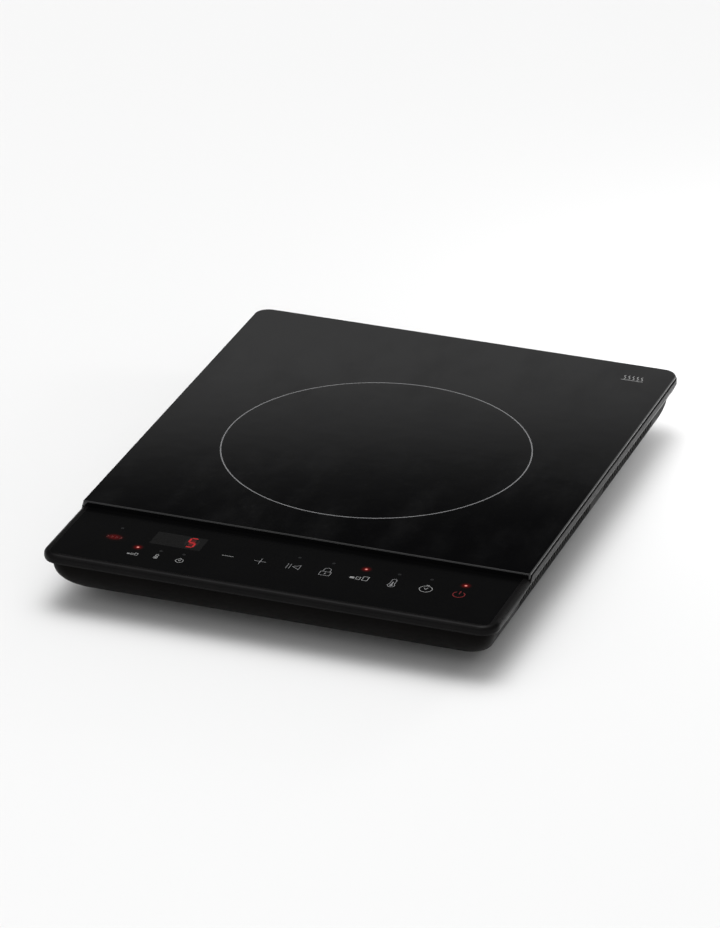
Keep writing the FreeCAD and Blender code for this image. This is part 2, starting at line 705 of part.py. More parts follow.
def cord_clamp():
    """Saddle that would grip the cord inside the shell."""
    front = CLAMP_Y - CLAMP_HALF_DEPTH
    rear = CLAMP_Y + CLAMP_HALF_DEPTH
    top = CLAMP_BASE + CLAMP_THICKNESS
    feet = block(CORD_X - CLAMP_HALF_LENGTH, CORD_X + CLAMP_HALF_LENGTH, front, rear,
                 CLAMP_BASE, top)
    arch = Part.makeCylinder(CLAMP_ARCH_RADIUS, rear - front, V(CORD_X, front, CORD_Z), Y_AXIS)
    legs = block(CORD_X - CLAMP_ARCH_RADIUS, CORD_X + CLAMP_ARCH_RADIUS, front, rear,
                 CLAMP_BASE, CORD_Z)
    opening = Part.makeCylinder(CORD_BORE_RADIUS + 0.2, rear - front + 2,
                                V(CORD_X, front - 1, CORD_Z), Y_AXIS)
    clamp = feet.fuse([arch, legs]).cut(opening)
    holes = [rod(x, y, CLAMP_BASE - 1, top + 1, 1.3) for x, y in clamp_screw_places()]
    return clamp.cut(holes).removeSplitter()


def clamp_screws():
    """Screws of the cord clamp."""
    head_z = CLAMP_BASE + CLAMP_THICKNESS + SCREW_HEAD_HEIGHT
    return Part.makeCompound([screw(x, y, head_z, CLAMP_THICKNESS, 2.2, 1.25, False)
                              for x, y in clamp_screw_places()])


# ---- coil group ----
def coil_screw_places():
    """Four screws that hold the coil tray to the floor."""
    return [on_circle(0, COIL_Y, COIL_SCREW_RADIUS, angle) for angle in COIL_SCREW_ANGLES]


def coil_tray():
    """Aluminium disc under the ferrites that shields the boards."""
    top = TRAY_Z + TRAY_THICKNESS
    rim_wall, rim_height = TRAY_RIM
    tray = tube(0, COIL_Y, TRAY_Z, top, TRAY_RADIUS, TRAY_BORE_RADIUS)
    rim = tube(0, COIL_Y, top, top + rim_height, TRAY_RADIUS, TRAY_RADIUS - rim_wall)
    holes = [rod(x, y, TRAY_Z - 1, top + 1, 1.6) for x, y in coil_screw_places()]
    return tray.fuse(rim).cut(holes).removeSplitter()


def ferrite_bars():
    """Eight radial ferrite bars, lying on the tray."""
    length, width, height = FERRITE_SIZE
    bars = []
    for index in range(FERRITE_COUNT):
        bar = block(FERRITE_START, FERRITE_START + length, -width / 2, width / 2, 0, height)
        bar.rotate(V(0, 0, 0), Z_AXIS, index * 360 / FERRITE_COUNT)
        bar.translate(V(0, COIL_Y, TRAY_Z + TRAY_THICKNESS))
        bars.append(bar)
    return Part.makeCompound(bars)


def former_bottom():
    """Height of the coil former's underside."""
    return TRAY_Z + TRAY_THICKNESS + FERRITE_SIZE[2]


def coil_former():
    """Plastic disc with a hub and rim that carries the winding."""
    z0 = former_bottom()
    z1 = z0 + FORMER_THICKNESS
    top = z1 + COIL_WIRE
    disc = tube(0, COIL_Y, z0, z1, FORMER_RADIUS, FORMER_BORE_RADIUS)
    hub = tube(0, COIL_Y, z1, top, COIL_INNER_RADIUS - 0.5, COIL_INNER_RADIUS - 3)
    collar = tube(0, COIL_Y, z1, top, FORMER_BORE_RADIUS + 2, FORMER_BORE_RADIUS)
    rim = tube(0, COIL_Y, z1, top, FORMER_RADIUS, FORMER_RADIUS - FORMER_THICKNESS)
    spread = 360 / FERRITE_COUNT
    pegs = []
    for index in range(4):
        angle = spread * (2 * index + 0.5)
        x, y = on_circle(0, COIL_Y, PEG_PLACE_RADIUS, angle)
        pegs.append(rod(x, y, TRAY_Z + TRAY_THICKNESS, z0, PEG_RADIUS))
    return disc.fuse([hub, collar, rim] + pegs).removeSplitter()


def induction_coil():
    """Flat litz winding, one ring for each layer of turns, side by side."""
    z0 = former_bottom() + FORMER_THICKNESS
    pitch = (COIL_OUTER_RADIUS - COIL_INNER_RADIUS) / COIL_TURNS
    groove_z = z0 + COIL_WIRE - COIL_GROOVE_DEPTH
    winding = tube(0, COIL_Y, z0, groove_z, COIL_OUTER_RADIUS, COIL_INNER_RADIUS)
    turns = []
    for index in range(COIL_TURNS):
        inner = COIL_INNER_RADIUS + index * pitch
        turns.append(tube(0, COIL_Y, groove_z, z0 + COIL_WIRE, inner + pitch * TURN_SHARE, inner))
    return winding.fuse(turns).removeSplitter()


def mica_sheet():
    """Insulating sheet between winding and glass."""
    z0 = former_bottom() + FORMER_THICKNESS + COIL_WIRE
    return tube(0, COIL_Y, z0, z0 + MICA_THICKNESS, FORMER_RADIUS - 1, FORMER_BORE_RADIUS - 1)


def sensor_holder():
    """Silicone cup that presses the thermal sensor against the glass."""
    foot_radius, foot_height = SENSOR_FOOT
    middle = former_bottom()
    foot_low = middle - foot_height
    foot = rod(0, COIL_Y, foot_low, middle, foot_radius)
    stem = rod(0, COIL_Y, middle, GLASS_BOTTOM - SENSOR_STEM_DROP, SENSOR_STEM_RADIUS)
    neck = rod(0, COIL_Y, TRAY_Z + TRAY_THICKNESS, foot_low, SENSOR_NECK_RADIUS)
    pocket = rod(0, COIL_Y, GLASS_BOTTOM - SENSOR_POCKET_DEPTH, GLASS_BOTTOM,
                 SENSOR_POCKET_RADIUS)
    return joined([foot, stem, neck]).cut(pocket)


def thermal_sensor():
    """Bead thermistor, touching the underside of the glass."""
    top = GLASS_BOTTOM - 0.1
    bead = rod(0, COIL_Y, GLASS_BOTTOM - SENSOR_POCKET_DEPTH, top, SENSOR_POCKET_RADIUS - 0.1)
    return bead.makeFillet(0.8, edges_at_height(bead, top))


def coil_screws():
    """Screws through the coil tray."""
    top = TRAY_Z + TRAY_THICKNESS
    return Part.makeCompound([
        screw(x, y, top + SCREW_HEAD_HEIGHT, TRAY_THICKNESS, 3.0, 1.5, False)
        for x, y in coil_screw_places()])


# ---- cooling fan ----
def fan_screw_places():
    """Four screws at the corners of the fan frame."""
    half = FAN_HOLE_SPACING / 2
    return [(FAN_X + sx * half, FAN_Y + sy * half) for sx in (-1, 1) for sy in (-1, 1)]


def turned_about_fan(shape, angle_deg):
    """A shape drawn along X, turned about the fan axis."""
    shape.rotate(V(0, 0, 0), Z_AXIS, angle_deg)
    shape.translate(V(FAN_X, FAN_Y, 0))
    return shape


def fan_frame():
    """Square fan frame with a round duct, four struts and a motor base."""
    top = FAN_BOTTOM + FAN_HEIGHT
    body = plate(FAN_X - FAN_HALF, FAN_X + FAN_HALF, FAN_Y - FAN_HALF, FAN_Y + FAN_HALF,
                 FAN_BOTTOM, top, FAN_CORNER)
    body = body.cut(rod(FAN_X, FAN_Y, FAN_BOTTOM, top, DUCT_RADIUS))
    half = FAN_STRUT_WIDTH / 2
    struts = [turned_about_fan(block(0, DUCT_RADIUS + 1, -half, half, FAN_BOTTOM, FAN_BASE_TOP),
                               angle) for angle in (45, 135, 225, 315)]
    base = rod(FAN_X, FAN_Y, FAN_BOTTOM, FAN_BASE_TOP, HUB_RADIUS)
    sleeve = rod(FAN_X, FAN_Y, FAN_BASE_TOP, SLEEVE_TOP, SLEEVE_RADIUS)
    bore = rod(FAN_X, FAN_Y, FAN_BASE_TOP, top, BEARING_RADIUS)
    holes = [rod(x, y, FAN_BOTTOM - 1, top + 1, 2.2) for x, y in fan_screw_places()]
    return body.fuse(struts + [base, sleeve]).cut(holes + [bore]).removeSplitter()


def fan_stator():
    """Laminated four-pole core, on the bearing sleeve."""
    z1 = STATOR_LOW + STATOR_HEIGHT
    core = tube(FAN_X, FAN_Y, STATOR_LOW, z1, STATOR_CORE_RADIUS, SLEEVE_RADIUS)
    shoe_outer, shoe_inner, shoe_deg = STATOR_SHOE
    half = STATOR_POLE_WIDTH / 2
    poles = []
    for angle in (0, 90, 180, 270):
        pole = block(STATOR_CORE_RADIUS - 1, shoe_inner + 0.4, -half, half, STATOR_LOW, z1)
        poles.append(turned_about_fan(pole, angle))
        poles.append(ring_sector(FAN_X, FAN_Y, STATOR_LOW, z1, shoe_outer, shoe_inner,
                                 angle - shoe_deg / 2, shoe_deg))
    return core.fuse(poles).removeSplitter()


def fan_windings():
    """One copper winding round each pole of the stator."""
    z0 = STATOR_LOW
    z1 = STATOR_LOW + STATOR_HEIGHT
    x0, x1 = WINDING_REACH
    half = STATOR_POLE_WIDTH / 2
    coils = []
    for angle in (0, 90, 180, 270):
        outside = block(x0, x1, -half - WINDING_WALL, half + WINDING_WALL, z0 - 1, z1 + 1)
        coil = outside.cut(block(x0, x1, -half, half, z0, z1))
        coils.append(turned_about_fan(coil, angle))
    return Part.makeCompound(coils)


def fan_bearing():
    """Sintered sleeve bearing in the motor base."""
    return tube(FAN_X, FAN_Y, FAN_BASE_TOP, SLEEVE_TOP, BEARING_RADIUS,
                SHAFT_RADIUS + SHAFT_CLEARANCE)


def fan_shaft():
    """Steel shaft, fixed in the impeller hub and turning in the bearing."""
    return rod(FAN_X, FAN_Y, SHAFT_LOW, SHAFT_TOP, SHAFT_RADIUS)


def fan_impeller():
    """Hub cup with seven pitched blades."""
    inside = HUB_RADIUS - HUB_WALL
    skirt = tube(FAN_X, FAN_Y, HUB_SKIRT_LOW, HUB_CAP_LOW, HUB_RADIUS, inside)
    cap = rod(FAN_X, FAN_Y, HUB_CAP_LOW, HUB_CAP_TOP, HUB_RADIUS)
    boss = rod(FAN_X, FAN_Y, HUB_CAP_LOW - 1, HUB_CAP_LOW, HUB_BOSS_RADIUS)
    space = tube(FAN_X, FAN_Y, HUB_SKIRT_LOW, HUB_CAP_TOP + 0.4, BLADE_TIP_RADIUS,
                 HUB_RADIUS - HUB_WALL / 2)
    middle = (HUB_SKIRT_LOW + HUB_CAP_TOP) / 2
    blades = []
    for index in range(BLADE_COUNT):
        blade = block(inside, BLADE_TIP_RADIUS + 1, -BLADE_CHORD / 2,
                      BLADE_CHORD / 2, -BLADE_THICKNESS / 2, BLADE_THICKNESS / 2)
        blade.rotate(V(0, 0, 0), X_AXIS, BLADE_PITCH_DEG)
        blade = turned_about_fan(blade, index * 360 / BLADE_COUNT)
        blade.translate(V(0, 0, middle))
        blades.append(blade.common(space))
    hub = joined([skirt, cap, boss])
    bore = rod(FAN_X, FAN_Y, SLEEVE_TOP, SHAFT_TOP, SHAFT_RADIUS)
    return hub.fuse(blades).cut(bore).removeSplitter()


def fan_magnet():
    """Ring magnet inside the hub."""
    return tube(FAN_X, FAN_Y, MAGNET_LOW, MAGNET_TOP, HUB_RADIUS - HUB_WALL, MAGNET_INNER_RADIUS)


def fan_screws():
    """Long screws through the fan frame."""
    top = FAN_BOTTOM + FAN_HEIGHT
    return Part.makeCompound([
        screw(x, y, top + SCREW_HEAD_HEIGHT, FAN_HEIGHT, 3.6, 1.6, False)
        for x, y in fan_screw_places()])


# ---- power board ----
def board_screw_places():
    """Four screws at the corners of the power board."""
    inset = BOARD_SCREW_INSET
    return [(x, y) for x in (BOARD_X[0] + inset, BOARD_X[1] - inset)
            for y in (BOARD_Y[0] + inset, BOARD_Y[1] - inset)]


def power_board():
    """Glass-fibre board that carries the power parts."""
    board = plate(*BOARD_X, *BOARD_Y, BOARD_BOTTOM, BOARD_TOP, BOARD_CORNER)
    holes = [rod(x, y, BOARD_BOTTOM - 1, BOARD_TOP + 1, 1.6) for x, y in board_screw_places()]
    return board.cut(holes)


def board_screws():
    """Screws of the power board."""
    return Part.makeCompound([
        screw(x, y, BOARD_TOP + SCREW_HEAD_HEIGHT, BOARD_THICKNESS, 2.8, 1.5, False)
        for x, y in board_screw_places()])


def package(x, y, width, depth, height):
    """A block-shaped electronic part on the power board, with softened upright edges."""
    return plate(x - width / 2, x + width / 2, y - depth / 2, y + depth / 2,
                 BOARD_TOP, BOARD_TOP + height, PACKAGE_CORNER)


def heatsink():
    """Finned aluminium heatsink on two legs, with the semiconductors under it."""
    base = BOARD_TOP + PACKAGE_HEIGHT
    fin_low = base + HEATSINK_BASE
    x0, x1 = HEATSINK_X
    solids = [block(x0, x1, HEATSINK_Y[0], HEATSINK_Y[1], base, fin_low)]
    for index in range(FIN_COUNT):
        y = HEATSINK_Y[0] + FIN_FIRST + index * FIN_PITCH
        solids.append(block(x0, x1, y, y + FIN_THICKNESS, fin_low, base + HEATSINK_HEIGHT))
    for y in (HEATSINK_Y[0] + HEATSINK_LEG_INSET, HEATSINK_Y[1] - HEATSINK_LEG_INSET):
        solids.append(rod(x0 + HEATSINK_LEG_INSET, y, BOARD_TOP, base, HEATSINK_LEG_RADIUS))
    return joined(solids)


def filter_choke():
    """Lying ring-shaped choke of the mains filter."""
    return Part.makeTorus(CHOKE_RING_RADIUS, CHOKE_SECTION_RADIUS,
                          V(*CHOKE_PLACE, BOARD_TOP + CHOKE_LIFT), Z_AXIS)


def electrolytic_capacitors():
    """Two upright can capacitors."""
    top = BOARD_TOP + CAN_HEIGHT
    cans = []
    for x, y in CAN_PLACES:
        can = rod(x, y, BOARD_TOP, top, CAN_RADIUS)
        cans.append(can.makeFillet(CAN_EDGE_RADIUS, edges_at_height(can, top)))
    return Part.makeCompound(cans)


def supply_transformer():
    """Small transformer of the standby supply: a core and a wound bobbin."""
    x0, x1 = TRANSFORMER_X
    y0, y1 = TRANSFORMER_Y
    wall_y, wall_z = TRANSFORMER_WALL
    top = BOARD_TOP + TRANSFORMER_HEIGHT
    core = block(x0, x1, y0, y1, BOARD_TOP, top)
    windows = block(x0, x1, y0 + wall_y, y1 - wall_y, BOARD_TOP + wall_z, top - wall_z)
    bobbin = block(x0 + BOBBIN_INSET, x1 - BOBBIN_INSET, y0 - 1, y1 + 1,
                   BOARD_TOP + wall_z + 0.5, top - wall_z - 0.5)
    return core.cut(windows).fuse(bobbin).removeSplitter()


def mains_terminal():
    """Two-pole terminal block for the mains wires."""
    x0, x1 = TERMINAL_X
    y0, y1 = TERMINAL_Y
    top = BOARD_TOP + TERMINAL_HEIGHT
    middle = (y0 + y1) / 2
    half_width = TERMINAL_MOUTH_WIDTH / 2
    terminal = block(x0, x1, y0, y1, BOARD_TOP, top)
    mouths = [block(x, x + TERMINAL_MOUTH_WIDTH, middle, y1, BOARD_TOP + 2, top - 3)
              for x in TERMINAL_MOUTHS]
    wells = [rod(x + half_width, middle - 2, BOARD_TOP + TERMINAL_HEIGHT / 2, top + 1,
                 TERMINAL_WELL_RADIUS) for x in TERMINAL_MOUTHS]
    return terminal.cut(mouths + wells)


def glass_fuse():
    """Cartridge fuse in two clips."""
    return Part.makeCylinder(FUSE_RADIUS, FUSE_LENGTH, V(*FUSE_START, BOARD_TOP + FUSE_LIFT),
                             X_AXIS)


def fuse_clips():
    """The two clips that hold the fuse."""
    fuse_y = FUSE_START[1]
    clips = []
    for x in CLIP_PLACES:
        clips.append(block(x, x + CLIP_LENGTH, fuse_y - CLIP_HALF_WIDTH, fuse_y + CLIP_HALF_WIDTH,
                           BOARD_TOP, BOARD_TOP + FUSE_LIFT).cut(glass_fuse()))
    return Part.makeCompound(clips)


# ---- control board ----
def bracket_screw_places():
    """Four screws that hold the control bracket under the frame."""
    return [(side * BRACKET_SCREW_X, y) for side in (-1, 1) for y in BRACKET_SCREW_Y]


def bracket_room(inset, z0, z1):
    """A plate of the bracket's outline, moved inward all round."""
    half = BRACKET_HALF_WIDTH - inset
    return plate(-half, half, BRACKET_Y[0] + inset, BRACKET_Y[1] - inset, z0, z1,
                 BRACKET_CORNER - inset * 0.9)


def control_bracket():
    """Shallow tray under the control strip that carries the touch board."""
    front, rear = BRACKET_Y
    above = RIM_BOTTOM + 1
    tray = bracket_room(0.0, BRACKET_Z, RIM_BOTTOM)
    hollow = bracket_room(BRACKET_WALL, BRACKET_Z + BRACKET_WALL, above)
    ear_radius, ear_thickness = BRACKET_EAR
    ear_low = RIM_BOTTOM - ear_thickness
    additions = []
    for x, y in bracket_screw_places():
        wall_x = math.copysign(BRACKET_HALF_WIDTH - 1, x)
        additions.append(block(min(x, wall_x), max(x, wall_x), y - ear_radius, y + ear_radius,
                               ear_low, RIM_BOTTOM))
        additions.append(rod(x, y, ear_low, RIM_BOTTOM, ear_radius))
    for x in BRACKET_REST_X:
        for y0, y1 in ((front + 1, front + 7), (rear - 7, rear - 1)):
            additions.append(block(x - 2, x + 2, y0, y1, BRACKET_Z + 1, CONTROL_BOARD_Z))
    cutters = [bracket_room(BRACKET_WALL, CONTROL_BOARD_Z, above)]
    cutters.append(block(RIBBON_X[0] - 2, RIBBON_X[1] + 2, rear - 4, rear + 2,
                         CONTROL_BOARD_Z - 2.2, above))
    for x, y in bracket_screw_places():
        cutters.append(rod(x, y, ear_low - 1, above, BRACKET_HOLE_RADIUS + 0.1))
    return tray.cut(hollow).fuse(additions).cut(cutters).removeSplitter()


def bracket_screws():
    """Short screws up through the bracket ears."""
    ear_low = RIM_BOTTOM - BRACKET_EAR[1]
    return Part.makeCompound([
        screw(x, y, ear_low - SCREW_HEAD_HEIGHT, 4.5, 2.2, BRACKET_HOLE_RADIUS - 0.05, True)
        for x, y in bracket_screw_places()])


def control_board():
    """Touch and display board, on the rests of the bracket."""
    return plate(-CONTROL_BOARD_HALF_WIDTH, CONTROL_BOARD_HALF_WIDTH, *CONTROL_BOARD_Y,
                 CONTROL_BOARD_Z, CONTROL_BOARD_TOP, CONTROL_BOARD_CORNER)


def touch_springs():
    """Conical contact springs between board and panel, one for each touch symbol."""
    panel_under = STRIP_TOP - PANEL_THICKNESS
    pad_low = panel_under - SPRING_WALL
    height = pad_low - CONTROL_BOARD_TOP
    low_radius, high_radius = SPRING_RADII
    places = [(x, UPPER_TOUCH_ROW) for x in UPPER_TOUCH_X]
    places += [(x, LOWER_TOUCH_ROW) for x in LOWER_TOUCH_X]
    springs = []
    for x, row in places:
        y = GLASS_FRONT_Y + row
        base = V(x, y, CONTROL_BOARD_TOP)
        outer = Part.makeCone(low_radius, high_radius, height, base)
        inner = Part.makeCone(low_radius - SPRING_WALL, high_radius - SPRING_WALL, height, base)
        pad = rod(x, y, pad_low, panel_under, high_radius)
        springs.append(outer.cut(inner).fuse(pad).removeSplitter())
    return Part.makeCompound(springs)


def display_module():
    """Three-digit display under the window."""
    high = STRIP_TOP - PANEL_THICKNESS - LAMP_DROP
    return block(DISPLAY_X[0] + DISPLAY_INSET, DISPLAY_X[1] - DISPLAY_INSET,
                 GLASS_FRONT_Y + DISPLAY_Y[0] + DISPLAY_INSET,
                 GLASS_FRONT_Y + DISPLAY_Y[1] - DISPLAY_INSET, CONTROL_BOARD_TOP, high)


def indicator_leds():
    """Round lamps under the panel, above and beside the symbols."""
    high = STRIP_TOP - PANEL_THICKNESS - LAMP_DROP
    places = [(x, UPPER_LAMP_ROW) for x in UPPER_LAMP_X]
    places += [(x, LOWER_LAMP_ROW) for x in LOWER_LAMP_X]
    lamps = []
    for x, row in places:
        lamp = rod(x, GLASS_FRONT_Y + row, CONTROL_BOARD_TOP, high, LAMP_RADIUS)
        lamps.append(lamp.makeFillet(LAMP_DOME, edges_at_height(lamp, high)))
    return Part.makeCompound(lamps)


def buzzer():
    """Round buzzer with a sound hole, on the control board."""
    radius, height = BUZZER_SIZE
    top = CONTROL_BOARD_TOP + height
    hole = rod(*BUZZER_PLACE, CONTROL_BOARD_TOP + height / 2, top, BUZZER_HOLE_RADIUS)
    return rod(*BUZZER_PLACE, CONTROL_BOARD_TOP, top, radius).cut(hole)


# ---- wiring ----
def route_wire(points, radius):
    """Straight runs through the points, joined by tangent arcs of one radius."""
    edges = []
    start = points[0]
    for index in range(1, len(points) - 1):
        corner = points[index]
        back = (points[index - 1] - corner).normalize()
        ahead = (points[index + 1] - corner).normalize()
        half_turn = back.getAngle(ahead) / 2
        trim = radius / math.tan(half_turn)
        arc_start = corner + back * trim
        arc_end = corner + ahead * trim
        inward = (back + ahead).normalize()
        middle = corner + inward * (radius / math.sin(half_turn) - radius)
        edges.append(Part.LineSegment(start, arc_start).toShape())
        edges.append(Part.Arc(arc_start, middle, arc_end).toShape())
        start = arc_end
    edges.append(Part.LineSegment(start, points[-1]).toShape())
    return Part.Wire(edges)


def coil_leads():
    """Two insulated leads from the winding down to the power board."""
    leads = []
    lead_z = former_bottom() + FORMER_THICKNESS + LEAD_LIFT
    for x in LEAD_X:
        edge_y = COIL_Y + math.sqrt((FORMER_RADIUS + 0.6) ** 2 - x ** 2)
        points = [V(x, edge_y, lead_z), V(x, LEAD_DROP_Y, lead_z), V(x, LEAD_DROP_Y, BOARD_TOP)]
        path = route_wire(points, LEAD_BEND)
        circle = Part.Wire(Part.makeCircle(LEAD_RADIUS, points[0], Y_AXIS))
        leads.append(path.makePipeShell([circle], True, False))
    return Part.makeCompound(leads)


def control_ribbon():
    """Flat cable from the control board along the floor to the power board."""
    left, right = RIBBON_X
    half = RIBBON_THICKNESS / 2
    under_board = CONTROL_BOARD_Z - RIBBON_THICKNESS
    on_floor = FLOOR_TOP + RIBBON_FLOOR_GAP
    at_socket = BOARD_TOP + SOCKET_ENTRY
    drop_start, drop_end = RIBBON_DROP_Y
    route = ((RIBBON_START_Y, under_board), (drop_start, under_board), (drop_end, on_floor),
             (RIBBON_RISE_Y, on_floor), (RIBBON_RISE_Y, at_socket), (RIBBON_END_Y, at_socket))
    path = route_wire([V(left, y, z) for y, z in route], RIBBON_BEND)
    start_y, start_z = route[0]
    corners = [V(left, start_y, start_z - half), V(right, start_y, start_z - half),
               V(right, start_y, start_z + half), V(left, start_y, start_z + half)]
    profile = Part.makePolygon(corners + corners[:1])
    return path.makePipeShell([profile], True, False)


def ribbon_socket():
    """Socket of the flat cable at the edge of the power board."""
    return block(RIBBON_X[0] - 1, RIBBON_X[1] + 1, *SOCKET_Y, BOARD_TOP,
                 BOARD_TOP + SOCKET_HEIGHT)


NODES = {
    "glass_plate": glass_plate,
    "glass_seal": glass_seal,
    "upper_frame": upper_frame,
    "control_panel": control_panel,
    "display_window": lambda: window_block(DISPLAY_GAP),
    "lower_housing": lower_housing,
    "housing_screws": housing_screws,
    "cord_bush": cord_bush,
    "cord_clamp": cord_clamp,
    "clamp_screws": clamp_screws,
    "coil_tray": coil_tray,
    "ferrite_bars": ferrite_bars,
    "coil_former": coil_former,
    "induction_coil": induction_coil,
    "mica_sheet": mica_sheet,
    "sensor_holder": sensor_holder,
    "thermal_sensor": thermal_sensor,
    "coil_screws": coil_screws,
    "coil_leads": coil_leads,
    "fan_frame": fan_frame,
    "fan_stator": fan_stator,
    "fan_windings": fan_windings,
    "fan_bearing": fan_bearing,
    "fan_shaft": fan_shaft,
    "fan_impeller": fan_impeller,
    "fan_magnet": fan_magnet,
    "fan_screws": fan_screws,
    "power_board": power_board,
    "board_screws": board_screws,
    "heatsink": heatsink,
    "filter_choke": filter_choke,
    "electrolytic_capacitors": electrolytic_capacitors,
    "supply_transformer": supply_transformer,
    "mains_terminal": mains_terminal,
    "glass_fuse": glass_fuse,
    "fuse_clips": fuse_clips,
    "ribbon_socket": ribbon_socket,
    "control_ribbon": control_ribbon,
    "control_bracket": control_bracket,
    "bracket_screws": bracket_screws,
    "control_board": control_board,
    "touch_springs": touch_springs,
    "display_module": display_module,
    "indicator_leds": indicator_leds,
    "buzzer": buzzer,
}

FOOT_NAMES = ("foot_front_left", "foot_front_right", "foot_rear_left", "foot_rear_right")


def main():
    """Build every piece and write it to its own file."""
    os.makedirs("parts", exist_ok=True)
    shapes = {name: maker() for name, maker in NODES.items()}
    for name, size in PACKAGES.items():
        shapes[name] = package(*size)
    for name, place in zip(FOOT_NAMES, foot_places()):
        shapes[name] = rubber_foot(*place)
    for name, shape in shapes.items():
        if not shape.isValid():
            raise ValueError(name + " is not a valid shape")
        print(name, len(shape.Solids), round(shape.Volume))
        shape.exportStep("parts/" + name + ".step")


main()
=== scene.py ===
"""Looks of the portable induction cooktop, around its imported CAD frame.

Metres, Z up, the control strip towards -Y. Outlines and textures are sized in millimetres.
"""

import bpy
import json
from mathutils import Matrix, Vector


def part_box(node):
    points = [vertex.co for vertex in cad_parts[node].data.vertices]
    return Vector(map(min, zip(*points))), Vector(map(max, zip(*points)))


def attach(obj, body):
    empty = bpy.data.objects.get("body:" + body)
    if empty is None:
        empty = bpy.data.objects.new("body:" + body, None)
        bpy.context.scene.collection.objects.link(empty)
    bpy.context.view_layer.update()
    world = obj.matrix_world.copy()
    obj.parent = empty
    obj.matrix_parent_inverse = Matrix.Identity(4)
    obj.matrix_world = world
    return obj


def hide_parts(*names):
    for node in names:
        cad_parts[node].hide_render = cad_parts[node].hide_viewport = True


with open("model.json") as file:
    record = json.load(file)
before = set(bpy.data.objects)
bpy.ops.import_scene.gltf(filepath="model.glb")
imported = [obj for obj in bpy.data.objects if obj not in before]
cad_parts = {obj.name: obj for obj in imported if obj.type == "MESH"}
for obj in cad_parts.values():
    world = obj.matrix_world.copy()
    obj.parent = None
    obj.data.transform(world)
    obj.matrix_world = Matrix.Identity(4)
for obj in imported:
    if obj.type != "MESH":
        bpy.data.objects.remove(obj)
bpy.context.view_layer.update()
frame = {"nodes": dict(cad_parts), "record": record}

import json
import math

import bmesh
import bpy
from mathutils import Vector

MM = 0.001
NODES = frame["nodes"]
SLOT_OF = {part["node"]: part["material_slot"] for part in frame["record"]["subparts"]}

# ---- where things are, from the frame ----
GLASS_LOW, GLASS_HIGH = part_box("glass_plate")
PANEL_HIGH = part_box("control_panel")[1]
WINDOW_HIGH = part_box("display_window")[1]
COIL_LOW, COIL_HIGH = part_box("induction_coil")
GLASS_FRONT = GLASS_LOW.y / MM
STRIP_Z = PANEL_HIGH.z / MM
WINDOW_Z = WINDOW_HIGH.z / MM
GLASS_Z = GLASS_HIGH.z / MM
COIL_X = (COIL_LOW.x + COIL_HIGH.x) / 2
COIL_Y = (COIL_LOW.y + COIL_HIGH.y) / 2

# ---- sizes of the surface textures, in millimetres ----
MOTTLE_MM = 38.0
HANDLING_MM = 17.0
RUB_MM = 3.0
METAL_CLOUD_MM = 9.0
METAL_LINE_DEPTH_MM = 0.006
WIPE_MM = 30.0
WIPE_STRETCH = (1.0, 0.45, 1.0)
MARK_MM = 3.5
RIPPLE_MM, RIPPLE_DEPTH_MM = 14.0, 0.004
FILM_GRAIN_MM, FILM_DEPTH_MM = 0.22, 0.0035
FILM_CLOUD_MM = 42.0
SMEAR_MM = 11.0
LENS_CLOUD_MM = 6.0
LENS_HAZE_MM = 4.0
LENS_GRAIN_MM, LENS_DEPTH_MM = 0.3, 0.002
INK_GRAIN_MM, INK_GRAIN_DEPTH_MM = 0.25, 0.003
BOARD_SHEEN_MM = 5.0
TRACK_SCALE, TRACK_DEPTH_MM = 160.0, 0.03  # the scale is the brick texture's own, per metre
STRAND_MM, STRAND_DEPTH_MM = 0.5, 0.12
ENAMEL_MM = 2.0
WIRE_PITCH_MM, WIRE_DEPTH_MM = 1.25, 0.2
RIBBON_SHEEN_MM = 3.0
FLOOR_CLOUD_MM = 900.0

NOISE_REACH = (0.3, 0.7)  # most of a noise texture's values lie between these
EDGE_REACH = (0.985, 0.80)  # cosine between true and rounded normal: on the flat, at an edge
BEVEL_SAMPLES = 4


